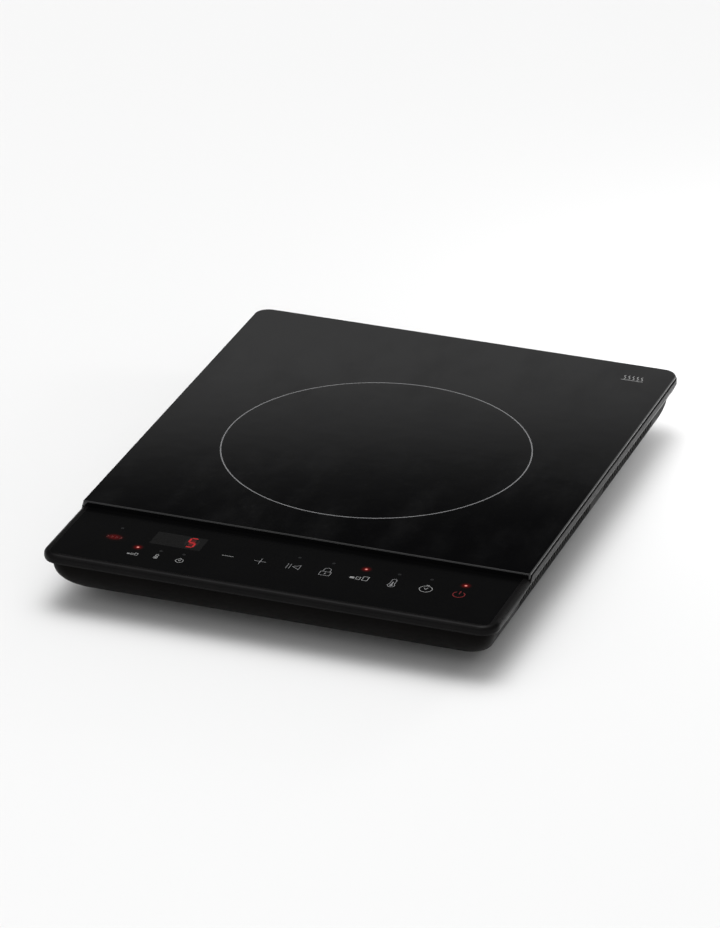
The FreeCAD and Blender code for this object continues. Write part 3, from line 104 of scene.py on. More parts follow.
# ---- shader nodes ----
class Shader:
    """A node material around one Principled BSDF, with short calls for the usual nodes."""

    def __init__(self, name, **sockets):
        self.material = bpy.data.materials.new(name)
        self.material.use_nodes = True
        self.tree = self.material.node_tree
        self.bsdf = self.tree.nodes["Principled BSDF"]
        self.place = self.add("ShaderNodeTexCoord").outputs["Object"]
        for socket, value in sockets.items():
            self.set(self.bsdf, socket.replace("_", " "), value)

    def add(self, kind, **settings):
        node = self.tree.nodes.new(kind)
        for key, value in settings.items():
            setattr(node, key, value)
        return node

    def set(self, node, socket, value):
        """Link a socket to another node's output, or give it a constant."""
        target = node.inputs[socket]
        if isinstance(value, bpy.types.NodeSocket):
            self.tree.links.new(value, target)
        elif isinstance(value, tuple) and len(value) == 3 and target.type == "RGBA":
            target.default_value = (*value, 1.0)
        else:
            target.default_value = value

    def principled(self, socket, value):
        self.set(self.bsdf, socket, value)

    def stretch(self, scale):
        """The object coordinates, scaled by axis."""
        mapping = self.add("ShaderNodeMapping")
        self.set(mapping, "Vector", self.place)
        self.set(mapping, "Scale", scale)
        return mapping.outputs["Vector"]

    def split(self):
        """The object coordinates as separate X, Y and Z outputs."""
        node = self.add("ShaderNodeSeparateXYZ")
        self.set(node, "Vector", self.place)
        return node.outputs

    def noise(self, size_mm, detail=2.0, roughness=0.5, vector=None):
        node = self.add("ShaderNodeTexNoise")
        self.set(node, "Vector", self.place if vector is None else vector)
        self.set(node, "Scale", 1.0 / (size_mm * MM))
        self.set(node, "Detail", detail)
        self.set(node, "Roughness", roughness)
        return node.outputs["Fac"]

    def span(self, value, low, high, to_low, to_high):
        """The value mapped from one range to another, and clamped."""
        node = self.add("ShaderNodeMapRange")
        for socket, number in (("Value", value), ("From Min", low), ("From Max", high),
                               ("To Min", to_low), ("To Max", to_high)):
            self.set(node, socket, number)
        return node.outputs["Result"]

    def vary(self, noise, low=0.0, high=1.0):
        """A noise spread out between two levels."""
        return self.span(noise, *NOISE_REACH, low, high)

    def math(self, operation, first, second=0.0):
        node = self.add("ShaderNodeMath", operation=operation)
        self.set(node, 0, first)
        self.set(node, 1, second)
        return node.outputs[0]

    def mix(self, share, first, second):
        """Two colours mixed by a share."""
        node = self.add("ShaderNodeMix", data_type="RGBA")
        self.set(node, "Factor", share)
        color_a, color_b, color_result = 6, 7, 2  # the colour sockets of a Mix node
        for index, value in ((color_a, first), (color_b, second)):
            if isinstance(value, tuple):
                node.inputs[index].default_value = (*value, 1.0)
            else:
                self.tree.links.new(value, node.inputs[index])
        return node.outputs[color_result]

    def bump(self, height, depth_mm, normal=None):
        node = self.add("ShaderNodeBump")
        self.set(node, "Strength", 1.0)
        self.set(node, "Distance", depth_mm * MM)
        self.set(node, "Height", height)
        if normal is not None:
            self.set(node, "Normal", normal)
        return node.outputs["Normal"]

    def rounded(self, radius_mm):
        """The normal with its sharp edges rounded off."""
        node = self.add("ShaderNodeBevel", samples=BEVEL_SAMPLES)
        self.set(node, "Radius", radius_mm * MM)
        return node.outputs["Normal"]

    def edge(self, soft_normal):
        """About 1 along edges and 0 on the flat, from a rounded normal."""
        geometry = self.add("ShaderNodeNewGeometry")
        dot = self.add("ShaderNodeVectorMath", operation="DOT_PRODUCT")
        self.set(dot, 0, soft_normal)
        self.set(dot, 1, geometry.outputs["Normal"])
        return self.span(dot.outputs["Value"], *EDGE_REACH, 0.0, 1.0)


def moulded(name, color, rough, grain_mm, depth_mm, wear=None, radius_mm=0.35, metal=0.0,
            spec=0.5, mottle=0.25, spread=0.08):
    """Moulded, coated or cast stuff: grained bump, mottled colour and roughness, worn edges."""
    s = Shader(name, Metallic=metal, Specular_IOR_Level=spec)
    soft = s.rounded(radius_mm)
    broad = s.noise(MOTTLE_MM, 3.0)
    fine = s.noise(grain_mm, 2.0, 0.6)
    dark = tuple(c * (1 - mottle) for c in color)
    light = tuple(min(1.0, c * (1 + mottle)) for c in color)
    tone = s.mix(s.vary(broad), dark, light)
    if wear is not None:
        patches = s.span(s.noise(RUB_MM, 3.0, 0.7), 0.35, 0.7, 0.1, 1.0)
        tone = s.mix(s.math("MULTIPLY", s.edge(soft), patches), tone, wear)
    s.principled("Base Color", tone)
    handled = s.noise(HANDLING_MM, 4.0, 0.65)
    change = s.math("ADD", s.vary(handled, -spread, spread), s.vary(fine, -spread / 2, spread / 2))
    s.principled("Roughness", s.math("ADD", change, rough))
    s.principled("Normal", s.bump(fine, depth_mm, soft))
    return s.material


def brushed(name, color, rough, along=(1.0, 0.03, 1.0), line_mm=0.12, wear=None):
    """Metal with fine lines along one axis."""
    s = Shader(name, Metallic=1.0)
    soft = s.rounded(0.25)
    lines = s.noise(line_mm, 2.0, 0.7, s.stretch(along))
    cloud = s.noise(METAL_CLOUD_MM, 3.0)
    dark = tuple(c * 0.8 for c in color)
    tone = s.mix(s.vary(cloud), dark, color)
    if wear is not None:
        tone = s.mix(s.edge(soft), tone, wear)
    s.principled("Base Color", tone)
    s.principled("Roughness", s.span(lines, 0.2, 0.8, rough - 0.08, rough + 0.12))
    s.principled("Normal", s.bump(lines, METAL_LINE_DEPTH_MM, soft))
    return s.material


def glass_material():
    """Black ceramic glass: deep gloss, faint wipe marks, a trace of ripple."""
    s = Shader("black_glass", Base_Color=(0.0016, 0.0016, 0.0018), Specular_IOR_Level=0.5, IOR=1.5)
    wipe = s.noise(WIPE_MM, 4.0, 0.6, s.stretch(WIPE_STRETCH))
    mark = s.noise(MARK_MM, 5.0, 0.7)
    change = s.math("ADD", s.span(wipe, 0.42, 0.75, 0.0, 0.05), s.span(mark, 0.55, 0.8, 0.0, 0.035))
    s.principled("Roughness", s.math("ADD", change, 0.035))
    s.principled("Normal", s.bump(s.noise(RIPPLE_MM, 1.0), RIPPLE_DEPTH_MM))
    return s.material


def film_material():
    """Satin film on the control strip, with a fine even texture."""
    s = Shader("panel_film", Specular_IOR_Level=0.05)
    fine = s.noise(FILM_GRAIN_MM, 2.0, 0.6)
    cloud = s.noise(FILM_CLOUD_MM, 3.0)
    s.principled("Base Color", s.mix(s.vary(cloud),
                                     (0.0009, 0.0009, 0.0010), (0.0014, 0.0014, 0.0015)))
    smear = s.noise(SMEAR_MM, 4.0, 0.65)
    change = s.math("ADD", s.span(smear, 0.35, 0.72, 0.0, 0.02), s.vary(fine, 0.0, 0.04))
    s.principled("Roughness", s.math("ADD", change, 0.17))
    s.principled("Normal", s.bump(fine, FILM_DEPTH_MM, s.rounded(0.25)))
    return s.material


def lens_material():
    """Smoked lens over the display."""
    s = Shader("window_lens", Specular_IOR_Level=0.12)
    cloud = s.noise(LENS_CLOUD_MM, 2.0)
    s.principled("Base Color", s.mix(s.vary(cloud),
                                     (0.0045, 0.0045, 0.0045), (0.0050, 0.0050, 0.0049)))
    s.principled("Roughness", s.vary(s.noise(LENS_HAZE_MM, 3.0), 0.16, 0.24))
    s.principled("Normal", s.bump(s.noise(LENS_GRAIN_MM), LENS_DEPTH_MM))
    return s.material


def printed(name, color, glow=0.0, rough=0.42):
    """Screen-printed ink, a little uneven, which may glow: lit from behind, or with a painted glow
    where no lamp lies behind it.
    """
    s = Shader(name, Specular_IOR_Level=0.15)
    speckle = s.noise(INK_GRAIN_MM, 3.0, 0.7)
    thin = tuple(c * 0.78 for c in color)
    tone = s.mix(s.span(speckle, 0.3, 0.75, 0.0, 1.0), thin, color)
    s.principled("Base Color", tone)
    s.principled("Roughness", s.vary(speckle, rough - 0.06, rough + 0.08))
    s.principled("Normal", s.bump(speckle, INK_GRAIN_DEPTH_MM))
    if glow:
        s.principled("Emission Color", tone)
        s.principled("Emission Strength", glow)
    return s.material


def lamp_glow(name, core, halo, core_share, strength, ground=(0.0015, 0.0013, 0.0013)):
    """A lit spot under a cover: a bright core and a halo that fades out to the ground colour.

    The piece's own box gives the centre, and core_share is the core's part of its half width.
    """
    halo_strength = 0.40 * strength
    s = Shader(name, Specular_IOR_Level=0.05, Roughness=0.2)
    centred = s.add("ShaderNodeMapping")
    s.set(centred, "Vector", s.add("ShaderNodeTexCoord").outputs["Generated"])
    s.set(centred, "Location", (-0.5, -0.5, 0.0))
    s.set(centred, "Scale", (1.0, 1.0, 0.0))
    length = s.add("ShaderNodeVectorMath", operation="LENGTH")
    s.set(length, 0, centred.outputs["Vector"])
    distance = s.math("MULTIPLY", length.outputs["Value"], 2.0)
    middle = s.span(distance, core_share * 0.6, core_share * 1.5, 1.0, 0.0)
    fade = s.math("POWER", s.span(distance, core_share * 0.5, 0.97, 1.0, 0.0), 2.6)
    level = s.math("ADD", s.math("MULTIPLY", middle, strength),
                   s.math("MULTIPLY", fade, halo_strength))
    s.principled("Base Color", ground)
    s.principled("Emission Color", s.mix(middle, halo, core))
    s.principled("Emission Strength", level)
    return s.material


def board_material():
    """Green solder mask with faint copper tracks under it."""
    s = Shader("circuit_board", Specular_IOR_Level=0.5)
    track = s.add("ShaderNodeTexBrick", offset=0.35)
    for socket, value in (("Vector", s.place), ("Scale", TRACK_SCALE), ("Mortar Size", 0.03),
                          ("Color1", (0.006, 0.055, 0.018)), ("Color2", (0.005, 0.045, 0.016)),
                          ("Mortar", (0.03, 0.12, 0.045))):
        s.set(track, socket, value)
    s.principled("Base Color", track.outputs["Color"])
    s.principled("Roughness", s.vary(s.noise(BOARD_SHEEN_MM, 3.0), 0.28, 0.45))
    s.principled("Normal", s.bump(track.outputs["Fac"], TRACK_DEPTH_MM, s.rounded(0.2)))
    return s.material


def winding_material():
    """Enamelled copper strands that run round the coil centre, with painted shade in the gaps
    between them.
    """
    s = Shader("copper", Metallic=0.85, Coat_Weight=0.4, Coat_Roughness=0.2)
    place = s.split()
    dx = s.math("SUBTRACT", place["X"], COIL_X)
    dy = s.math("SUBTRACT", place["Y"], COIL_Y)
    radius = s.math("SQRT", s.math("ADD", s.math("MULTIPLY", dx, dx), s.math("MULTIPLY", dy, dy)))
    strands = s.math("SINE", s.math("MULTIPLY", radius, 2 * math.pi / (STRAND_MM * MM)))
    # the colour goes darker in the gaps between strands: painted shade, on top of the bump
    s.principled("Base Color", s.mix(s.span(strands, -1.0, 1.0, 0.0, 1.0),
                                     (0.22, 0.06, 0.02), (0.62, 0.24, 0.09)))
    s.principled("Roughness", s.vary(s.noise(ENAMEL_MM, 3.0), 0.3, 0.45))
    s.principled("Normal", s.bump(strands, STRAND_DEPTH_MM))
    return s.material


def ribbon_material():
    """Grey flat cable with a groove between its wires, darkened there as painted shade."""
    s = Shader("ribbon_grey", Specular_IOR_Level=0.4)
    wires = s.math("SINE", s.math("MULTIPLY", s.split()["X"], 2 * math.pi / (WIRE_PITCH_MM * MM)))
    # the colour goes dark in each groove between wires: painted shade
    s.principled("Base Color", s.mix(s.span(wires, -1.0, -0.4, 1.0, 0.0),
                                     (0.32, 0.32, 0.33), (0.12, 0.12, 0.13)))
    s.principled("Roughness", s.vary(s.noise(RIBBON_SHEEN_MM), 0.38, 0.5))
    s.principled("Normal", s.bump(wires, WIRE_DEPTH_MM))
    return s.material


BLACK_WEAR = (0.012, 0.012, 0.012)
MATERIALS = {
    "black_glass": glass_material(),
    "frame_plastic": moulded("frame_plastic", (0.0034, 0.0031, 0.0032), 0.29, 0.32, 0.008,
                             BLACK_WEAR, 0.3, spec=0.07, spread=0.04),
    "panel_film": film_material(),
    "window_lens": lens_material(),
    "housing_plastic": moulded("housing_plastic", (0.0020, 0.0016, 0.0014), 0.44, 0.42, 0.02,
                               BLACK_WEAR, 0.35, spec=0.035, spread=0.06),
    "foot_rubber": moulded("foot_rubber", (0.008, 0.008, 0.008), 0.75, 0.5, 0.03,
                           (0.03, 0.03, 0.03), 0.5, spec=0.25),
    "silicone": moulded("silicone", (0.012, 0.012, 0.012), 0.55, 0.8, 0.03, None, 0.3),
    "screw_steel": brushed("screw_steel", (0.42, 0.42, 0.43), 0.32, (1, 1, 0.1), 0.3,
                           (0.7, 0.7, 0.7)),
    "sheet_aluminium": brushed("sheet_aluminium", (0.72, 0.73, 0.74), 0.34, wear=(0.9, 0.9, 0.9)),
    "ferrite": moulded("ferrite", (0.035, 0.034, 0.036), 0.6, 0.3, 0.05, (0.1, 0.1, 0.1), 0.4),
    "nylon_natural": moulded("nylon_natural", (0.55, 0.50, 0.40), 0.45, 0.7, 0.02, None, 0.3,
                             mottle=0.08),
    "copper": winding_material(),
    "mica": moulded("mica", (0.45, 0.40, 0.30), 0.35, 1.5, 0.02, None, 0.1, mottle=0.2),
    "white_silicone": moulded("white_silicone", (0.7, 0.7, 0.68), 0.5, 0.8, 0.03, None, 0.3,
                              mottle=0.06),
    "circuit_board": board_material(),
    "component_black": moulded("component_black", (0.012, 0.012, 0.013), 0.42, 0.25, 0.015,
                               (0.04, 0.04, 0.04), 0.3),
    "component_yellow": moulded("component_yellow", (0.62, 0.40, 0.05), 0.4, 0.4, 0.015,
                                (0.75, 0.55, 0.15), 0.4, mottle=0.1),
    "component_blue": moulded("component_blue", (0.02, 0.07, 0.22), 0.35, 0.4, 0.01,
                              (0.08, 0.16, 0.36), 0.4, mottle=0.12),
    "fan_plastic": moulded("fan_plastic", (0.010, 0.010, 0.011), 0.38, 0.3, 0.012,
                           (0.035, 0.035, 0.036), 0.3, spread=0.06),
    "magnet": moulded("magnet", (0.05, 0.045, 0.042), 0.55, 0.35, 0.03, (0.14, 0.13, 0.12), 0.3),
    "bronze": brushed("bronze", (0.45, 0.26, 0.11), 0.4, (1, 1, 0.1), 0.3),
    "steel": brushed("steel", (0.5, 0.5, 0.52), 0.25, (1, 1, 0.05), 0.2, (0.75, 0.75, 0.76)),
    "fuse_glass": moulded("fuse_glass", (0.5, 0.52, 0.52), 0.12, 2.0, 0.002, None, 0.2,
                          mottle=0.05),
    "lamp_red": moulded("lamp_red", (0.35, 0.01, 0.01), 0.25, 0.8, 0.004, None, 0.2, mottle=0.1),
    "lead_white": moulded("lead_white", (0.62, 0.61, 0.58), 0.48, 0.6, 0.02, None, 0.3,
                          mottle=0.08),
    "ribbon_grey": ribbon_material(),
}


def paint(obj, material):
    obj.data.materials.clear()
    obj.data.materials.append(material)


for node_name, node in NODES.items():
    paint(node, MATERIALS[SLOT_OF[node_name]])


# ---- meshes ----
def in_scene(obj):
    """The object, linked into the scene."""
    bpy.context.scene.collection.objects.link(obj)
    return obj


def mesh_object(name, bm, material):
    """An object in the scene from a finished bmesh."""
    mesh = bpy.data.meshes.new(name)
    bm.to_mesh(mesh)
    bm.free()
    mesh.materials.append(material)
    return in_scene(bpy.data.objects.new(name, mesh))


def new_piece(name, bm, material, body="base"):
    """A piece of the cooktop from a bmesh, riding on a body."""
    bmesh.ops.recalc_face_normals(bm, faces=bm.faces)
    obj = mesh_object(name, bm, material)
    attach(obj, body)
    return obj


def add_row(bm, outline, z):
    """Vertices along an outline at one height, all in millimetres."""
    return [bm.verts.new((x * MM, y * MM, z * MM)) for x, y in outline]


def add_walls(bm, first, second):
    """Faces between two closed rows of as many vertices."""
    for i in range(len(first)):
        j = (i + 1) % len(first)
        bm.faces.new((first[i], first[j], second[j], second[i]))


def add_prism(bm, outline, z0, z1):
    """A closed upright prism on a simple outline."""
    low = add_row(bm, outline, z0)
    high = add_row(bm, outline, z1)
    bm.faces.new(high)
    bm.faces.new(low[::-1])
    add_walls(bm, low, high)


def add_band(bm, outer, inner, z0, z1):
    """A closed upright ring between two outlines of as many points."""
    rows = [add_row(bm, outline, z)
            for outline, z in ((outer, z0), (outer, z1), (inner, z1), (inner, z0))]
    for row, following in zip(rows, rows[1:] + rows[:1]):
        add_walls(bm, row, following)


def stacked(levels):
    """A closed shell from stacked outlines; each level is z and the outline at it."""
    bm = bmesh.new()
    rows = [add_row(bm, outline, z) for z, outline in levels]
    for row, following in zip(rows, rows[1:]):
        add_walls(bm, row, following)
    bm.faces.new(rows[0][::-1])
    bm.faces.new(rows[-1])
    return bm


def arc(cx, cy, radius, start, end, steps=24):
    """Points on an arc, from one angle to another in degrees."""
    return [(cx + radius * math.cos(math.radians(start + (end - start) * i / steps)),
             cy + radius * math.sin(math.radians(start + (end - start) * i / steps)))
            for i in range(steps + 1)]


def circle(cx, cy, radius, steps=48):
    return arc(cx, cy, radius, 0, 360, steps)[:-1]


def uneven_box(x0, x1, y0, y1, front, rear, steps=10):
    """A rectangle with one corner radius in front and one at the rear."""
    points = []
    for cx, cy, radius, start in ((x1 - front, y0 + front, front, -90),
                                  (x1 - rear, y1 - rear, rear, 0),
                                  (x0 + rear, y1 - rear, rear, 90),
                                  (x0 + front, y0 + front, front, 180)):
        points += arc(cx, cy, radius, start, start + 90, steps)
    return points


def box_outline(x0, x1, y0, y1, radius=0.0, steps=6):
    """A rectangle, with rounded corners if a radius is given."""
    if radius <= 0:
        return [(x0, y0), (x1, y0), (x1, y1), (x0, y1)]
    return uneven_box(x0, x1, y0, y1, radius, radius, steps)


def stroke(points, width):
    """The outline of a line of one width with flat ends."""
    half = width / 2
    shortest, sharpest = 1e-9, 0.35  # a step that counts as none, and the limit of a mitre
    left, right = [], []
    for i, (x, y) in enumerate(points):
        before = Vector(points[max(i - 1, 0)])
        after = Vector(points[min(i + 1, len(points) - 1)])
        here = Vector((x, y))
        ways = [w.normalized() for w in (here - before, after - here) if w.length > shortest]
        along = sum(ways, Vector((0, 0))).normalized()
        side = Vector((-along.y, along.x))
        mitre = 1 / max(sharpest, abs(along.dot(ways[0])))
        left.append(tuple(here + side * half * mitre))
        right.append(tuple(here - side * half * mitre))
    return right + left[::-1]


def moved(outline, x, y, size=1.0):
    return [(x + px * size, y + py * size) for px, py in outline]


# ---- symbols, drawn about 0, 0 in millimetres, with strokes of width w ----
def minus_sign(w):
    reach = 3.75
    return [("solid", box_outline(-reach, reach, -w / 2, w / 2))]


def plus_sign(w):
    h = w / 2
    r = 3.85
    return [("solid", [(-r, -h), (-h, -h), (-h, -r), (h, -r), (h, -h), (r, -h),
                       (r, h), (h, h), (h, r), (-h, r), (-h, h), (-r, h)])]


def pause_sign(w):
    """Two bars and an open triangle that points at them."""
    height, bar_places = 3.3, (-3.7, -1.8)
    bars = [("solid", box_outline(x - w / 2, x + w / 2, -height, height)) for x in bar_places]
    apex, back, half = -0.4, 4.6, 3.2
    slope = half / (back - apex)
    tip = apex + w / math.sin(math.atan(slope))
    rise = (back - w - tip) * slope
    triangle = ("band", [(apex, 0.0), (back, -half), (back, half)],
                [(tip, 0.0), (back - w, -rise), (back - w, rise)])
    return bars + [triangle]


def lock_sign(w):
    side, low, high, bend = 3.6, -4.7, 0.8, 2.2
    body = ("band", box_outline(-side, side, low, high, 0.7),
            box_outline(w - side, side - w, w + low, high - w, 0.3))
    loop = [(-bend, high)] + arc(0, 3.3, bend, 180, 0, 20) + [(bend, high)]
    keyhole = ("solid", box_outline(-0.3, 0.3, -2.9, -1.1))
    return [body, ("solid", stroke(loop, w)), keyhole]


def level_sign(w):
    """Three boxes that grow from left to right, the first one filled."""
    parts = [("solid", box_outline(-6.0, -3.0, -1.8, 0.5))]
    for x0, x1, y0, y1 in ((-2.1, 0.8, -2.2, 1.4), (2.0, 5.8, -2.4, 3.2)):
        parts.append(("band", box_outline(x0, x1, y0, y1),
                      box_outline(w + x0, x1 - w, w + y0, y1 - w)))
    return parts


def bulb_outline(stem, bulb, top, low):
    """A round-topped stem standing on a round bulb."""
    turn = math.degrees(math.asin(stem / bulb))
    return arc(0, top, stem, 0, 180, 12) + arc(0, low, bulb, 90 + turn, 450 - turn, 30)


def thermometer_sign(w):
    top, low, stem, bulb = 3.85, -2.8, 1.75, 2.5
    mercury = bulb_outline(0.4, 1.1, 1.6, low)
    glass = ("band", bulb_outline(stem, bulb, top, low),
             bulb_outline(stem - w, bulb - w, top, low))
    return [glass, ("solid", mercury)]


def timer_sign(w):
    radius = 4.2
    ring = ("band", circle(0, 0, radius), circle(0, 0, radius - w))
    button = ("solid", box_outline(-1.0, 1.0, 4.65, 5.3, 0.2))
    hand = ("solid", stroke([(-1.5, 1.4), (0.0, -0.5), (0.9, 1.8)], w))
    return [ring, button, hand]


def power_sign(w):
    radius, gap = 4.0, 34
    ring = ("solid", stroke(arc(0, 0, radius - w / 2, 90 + gap, 450 - gap, 44), w))
    bar = ("solid", box_outline(-w / 2, w / 2, 0.6, 4.5))
    return [ring, bar]


def boost_sign(w):
    """Four chevrons side by side, for full power."""
    back, tip, half = 0.7, 0.6, 1.2
    return [("solid", stroke([(x - back, -half), (x + tip, 0.0), (x - back, half)], w))
            for x in (-4.3, -1.4, 1.5, 4.4)]


def heat_sign(w):
    """Rising waves over a long bar, for a surface that may be hot."""
    bar_half, bar_low = 7.5, -3.8
    swing, wave_low, wave_height, steps = 0.7, -2.2, 5.4, 16
    parts = [("solid", box_outline(-bar_half, bar_half, bar_low, w + bar_low, 0.3))]
    for x in (-5.8, -2.9, 0.0, 2.9, 5.8):
        wave = [(x + swing * math.sin(t / steps * 2 * math.pi), wave_low + wave_height * t / steps)
                for t in range(steps + 1)]
        parts.append(("solid", stroke(wave, w)))
    return parts


INK_LIFT = 0.03  # how far ink stands above its surface, in mm
INK_SINK = 0.05  # and how far it reaches into it


def print_symbol(name, parts, x, y, z, size, material, lift=INK_LIFT):
    """Put a symbol's parts on a surface, as thin ink."""
    bm = bmesh.new()
    for kind, *outlines in parts:
        outlines = [moved(outline, x, y, size) for outline in outlines]
        add_ink = add_prism if kind == "solid" else add_band
        add_ink(bm, *outlines, z - INK_SINK, z + lift)
    return new_piece(name, bm, material)


# the soft grey ink has a faint glow of its own though no lamp lies behind it: painted light
INK_SOFT_PAINTED_GLOW = printed("ink_soft_painted_glow", (0.25, 0.25, 0.25), glow=0.05)
INK_GREY = printed("ink_grey", (0.20, 0.20, 0.205), rough=0.3)
INK_DIM = printed("ink_dim", (0.010, 0.010, 0.011))
INK_RED = printed("ink_red", (0.13, 0.011, 0.013), glow=0.20)
INK_RED_FAINT = printed("ink_red_faint", (0.085, 0.017, 0.017), glow=0.16)
DIGIT_LIT = printed("digit_lit", (0.30, 0.012, 0.014), glow=0.50)
DIGIT_OFF = printed("digit_off", (0.0043, 0.0040, 0.0040), rough=0.22)
LAMP_LIT = lamp_glow("lamp_lit", (1.0, 0.40, 0.34), (0.80, 0.006, 0.008), 0.17, 0.62)
BOOST_HALO = lamp_glow("boost_halo", (0.5, 0.008, 0.008), (0.5, 0.008, 0.008), 0.40, 0.10)
DIGIT_HALO = lamp_glow("digit_halo", (0.6, 0.01, 0.01), (0.6, 0.01, 0.01), 0.5, 0.13,
                       (0.012, 0.0115, 0.0112))

# name, drawing, X from the centre, Y from the glass front edge, size, stroke width in mm, ink
BOOST_PLACE = (-112.4, -34.05)
SYMBOLS = (
    ("boost_symbol", boost_sign, *BOOST_PLACE, 1.0, 0.55, INK_RED_FAINT),
    ("preset_power_symbol", level_sign, -93.3, -51.6, 0.58, 0.38, INK_SOFT_PAINTED_GLOW),
    ("preset_heat_symbol", thermometer_sign, -78.3, -49.9, 0.55, 0.4, INK_SOFT_PAINTED_GLOW),
    ("preset_timer_symbol", timer_sign, -62.8, -50.5, 0.62, 0.40, INK_SOFT_PAINTED_GLOW),
    ("minus_symbol", minus_sign, -37.25, -34.1, 1.0, 0.44, INK_SOFT_PAINTED_GLOW),
    ("plus_symbol", plus_sign, -15.7, -34.1, 1.0, 0.42, INK_GREY),
    ("pause_symbol", pause_sign, 5.6, -33.7, 1.0, 0.40, INK_GREY),
    ("lock_symbol", lock_sign, 27.2, -33.7, 1.0, 0.40, INK_GREY),
    ("power_level_symbol", level_sign, 49.1, -34.2, 1.0, 0.42, INK_SOFT_PAINTED_GLOW),
    ("temperature_symbol", thermometer_sign, 70.5, -33.7, 1.0, 0.44, INK_GREY),
    ("timer_symbol", timer_sign, 92.1, -34.0, 1.0, 0.44, INK_SOFT_PAINTED_GLOW),
    ("on_off_symbol", power_sign, 113.4, -34.0, 1.0, 0.6, INK_RED),
)
for name, draw, x, y, size, width, ink in SYMBOLS:
    print_symbol(name, draw(width / size), x, GLASS_FRONT + y, STRIP_Z, size, ink)


def print_disc(name, x, y, radius, material, lift=INK_LIFT, flat=1.0, z=STRIP_Z):
    """A thin disc on the strip, made shallower or deeper from front to back if asked."""
    outline = [(px, py * flat) for px, py in circle(0, 0, radius, 40)]
    print_symbol(name, [("solid", outline)], x, GLASS_FRONT + y, z, 1.0, material, lift)


DOT_RADIUS = 1.1
LAMP_RADIUS, LAMP_LIFT = 4.6, 0.01
BOOST_HALO_RADIUS, BOOST_HALO_FLAT = 9.5, 0.72
DOTS = ((-112.2, -21.2), (5.5, -20.9), (27.8, -21.1), (70.7, -21.2), (91.6, -20.9),
        (-78.1, -42.1), (-63.1, -41.8))
LAMPS = ((-93.5, -42.1), (49.2, -21.6), (113.7, -21.4))
for index, (x, y) in enumerate(DOTS):
    print_disc(f"lamp_off_{index + 1}", x, y, DOT_RADIUS, INK_DIM)
for index, (x, y) in enumerate(LAMPS):
    print_disc(f"lamp_lit_{index + 1}", x, y, LAMP_RADIUS, LAMP_LIT, LAMP_LIFT)
print_disc("boost_halo", *BOOST_PLACE, BOOST_HALO_RADIUS, BOOST_HALO, LAMP_LIFT, BOOST_HALO_FLAT)


def segment(ax, ay, bx, by, half):
    """One bar of a digit, with pointed ends."""
    along = Vector((bx - ax, by - ay)).normalized()
    side = Vector((-along.y, along.x))
    a, b = Vector((ax, ay)), Vector((bx, by))
    points = (a, a + (along - side) * half, b - (along + side) * half, b,
              b + (side - along) * half, a + (along + side) * half)
    return [tuple(p) for p in points]


def digit_bars(x, y):
    """The seven bars of a digit centred at x, y: top, upper left, upper right, middle and so on."""
    w, h, half, gap = 2.3, 5.9, 0.62, 0.2
    corners = {"tl": (-w, h), "tr": (w, h), "ml": (-w, 0), "mr": (w, 0),
               "bl": (-w, -h), "br": (w, -h)}
    bars = []
    for a, b in (("tl", "tr"), ("ml", "tl"), ("mr", "tr"), ("ml", "mr"), ("bl", "ml"),
                 ("br", "mr"), ("bl", "br")):
        start, end = Vector(corners[a]), Vector(corners[b])
        along = (end - start).normalized() * gap
        start, end = start + along, end - along
        bars.append(segment(x + start.x, y + start.y, x + end.x, y + end.y, half))
    return bars


DIGIT_X = (-83.1, -73.7, -64.3)
DIGIT_Y = -25.0
DIGIT_LIFT = 0.02
DIGIT_HALO_RADIUS, DIGIT_HALO_LIFT, DIGIT_HALO_DEEP = 4.6, 0.004, 1.45
FIVE = (0, 1, 3, 5, 6)
print_disc("digit_halo", DIGIT_X[-1], DIGIT_Y, DIGIT_HALO_RADIUS, DIGIT_HALO, DIGIT_HALO_LIFT,
           DIGIT_HALO_DEEP, WINDOW_Z)
lit, dark = bmesh.new(), bmesh.new()
for place, x in enumerate(DIGIT_X):
    for number, bar in enumerate(digit_bars(x, GLASS_FRONT + DIGIT_Y)):
        is_lit = place == len(DIGIT_X) - 1 and number in FIVE
        add_prism(lit if is_lit else dark, bar, WINDOW_Z - INK_SINK, WINDOW_Z + DIGIT_LIFT)
new_piece("digit_lit_bars", lit, DIGIT_LIT)
new_piece("digit_dark_bars", dark, DIGIT_OFF)


# ---- glass, with a ground edge, its ring and its heat mark ----
INK_DEPTH = 0.012  # the glass is this much lower than its CAD node, which leaves room for its ink
GLASS_TOP = GLASS_Z - INK_DEPTH
GLASS_FRONT_CORNER, GLASS_REAR_CORNER, SMALLEST_CORNER = 1.3, 10.0, 0.35
GLASS_BEVEL = 0.6
# the edge below the bevel and across it: inset, and height over the bottom or against the top
GLASS_FOOT = ((0.35, 0.0), (0.1, 0.1), (0.0, 0.35))
GLASS_SHOULDER = ((0.0, -GLASS_BEVEL - 0.12), (0.04, -GLASS_BEVEL + 0.05),
                  (GLASS_BEVEL - 0.12, -0.07), (GLASS_BEVEL, -0.015), (GLASS_BEVEL + 0.12, 0.0))
RING_RADIUS, RING_WIDTH, RING_STEPS = 100.0, 0.8, 180
HEAT_X, HEAT_Y, HEAT_STROKE = 122.5, 292.0, 0.6


def build_glass():
    """The plate, with a small flat bevel rounded into the top and the side."""
    x0, y0, z0 = (v / MM for v in GLASS_LOW)
    x1, y1 = GLASS_HIGH.x / MM, GLASS_HIGH.y / MM
    profile = [(inset, z0 + rise) for inset, rise in GLASS_FOOT]
    profile += [(inset, GLASS_TOP + drop) for inset, drop in GLASS_SHOULDER]
    levels = []
    for inset, z in profile:
        outline = uneven_box(x0 + inset, x1 - inset, y0 + inset, y1 - inset,
                             max(GLASS_FRONT_CORNER - inset, SMALLEST_CORNER),
                             GLASS_REAR_CORNER - inset)
        levels.append((z, outline))
    glass = new_piece("glass_top", stacked(levels), MATERIALS["black_glass"])
    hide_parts("glass_plate")


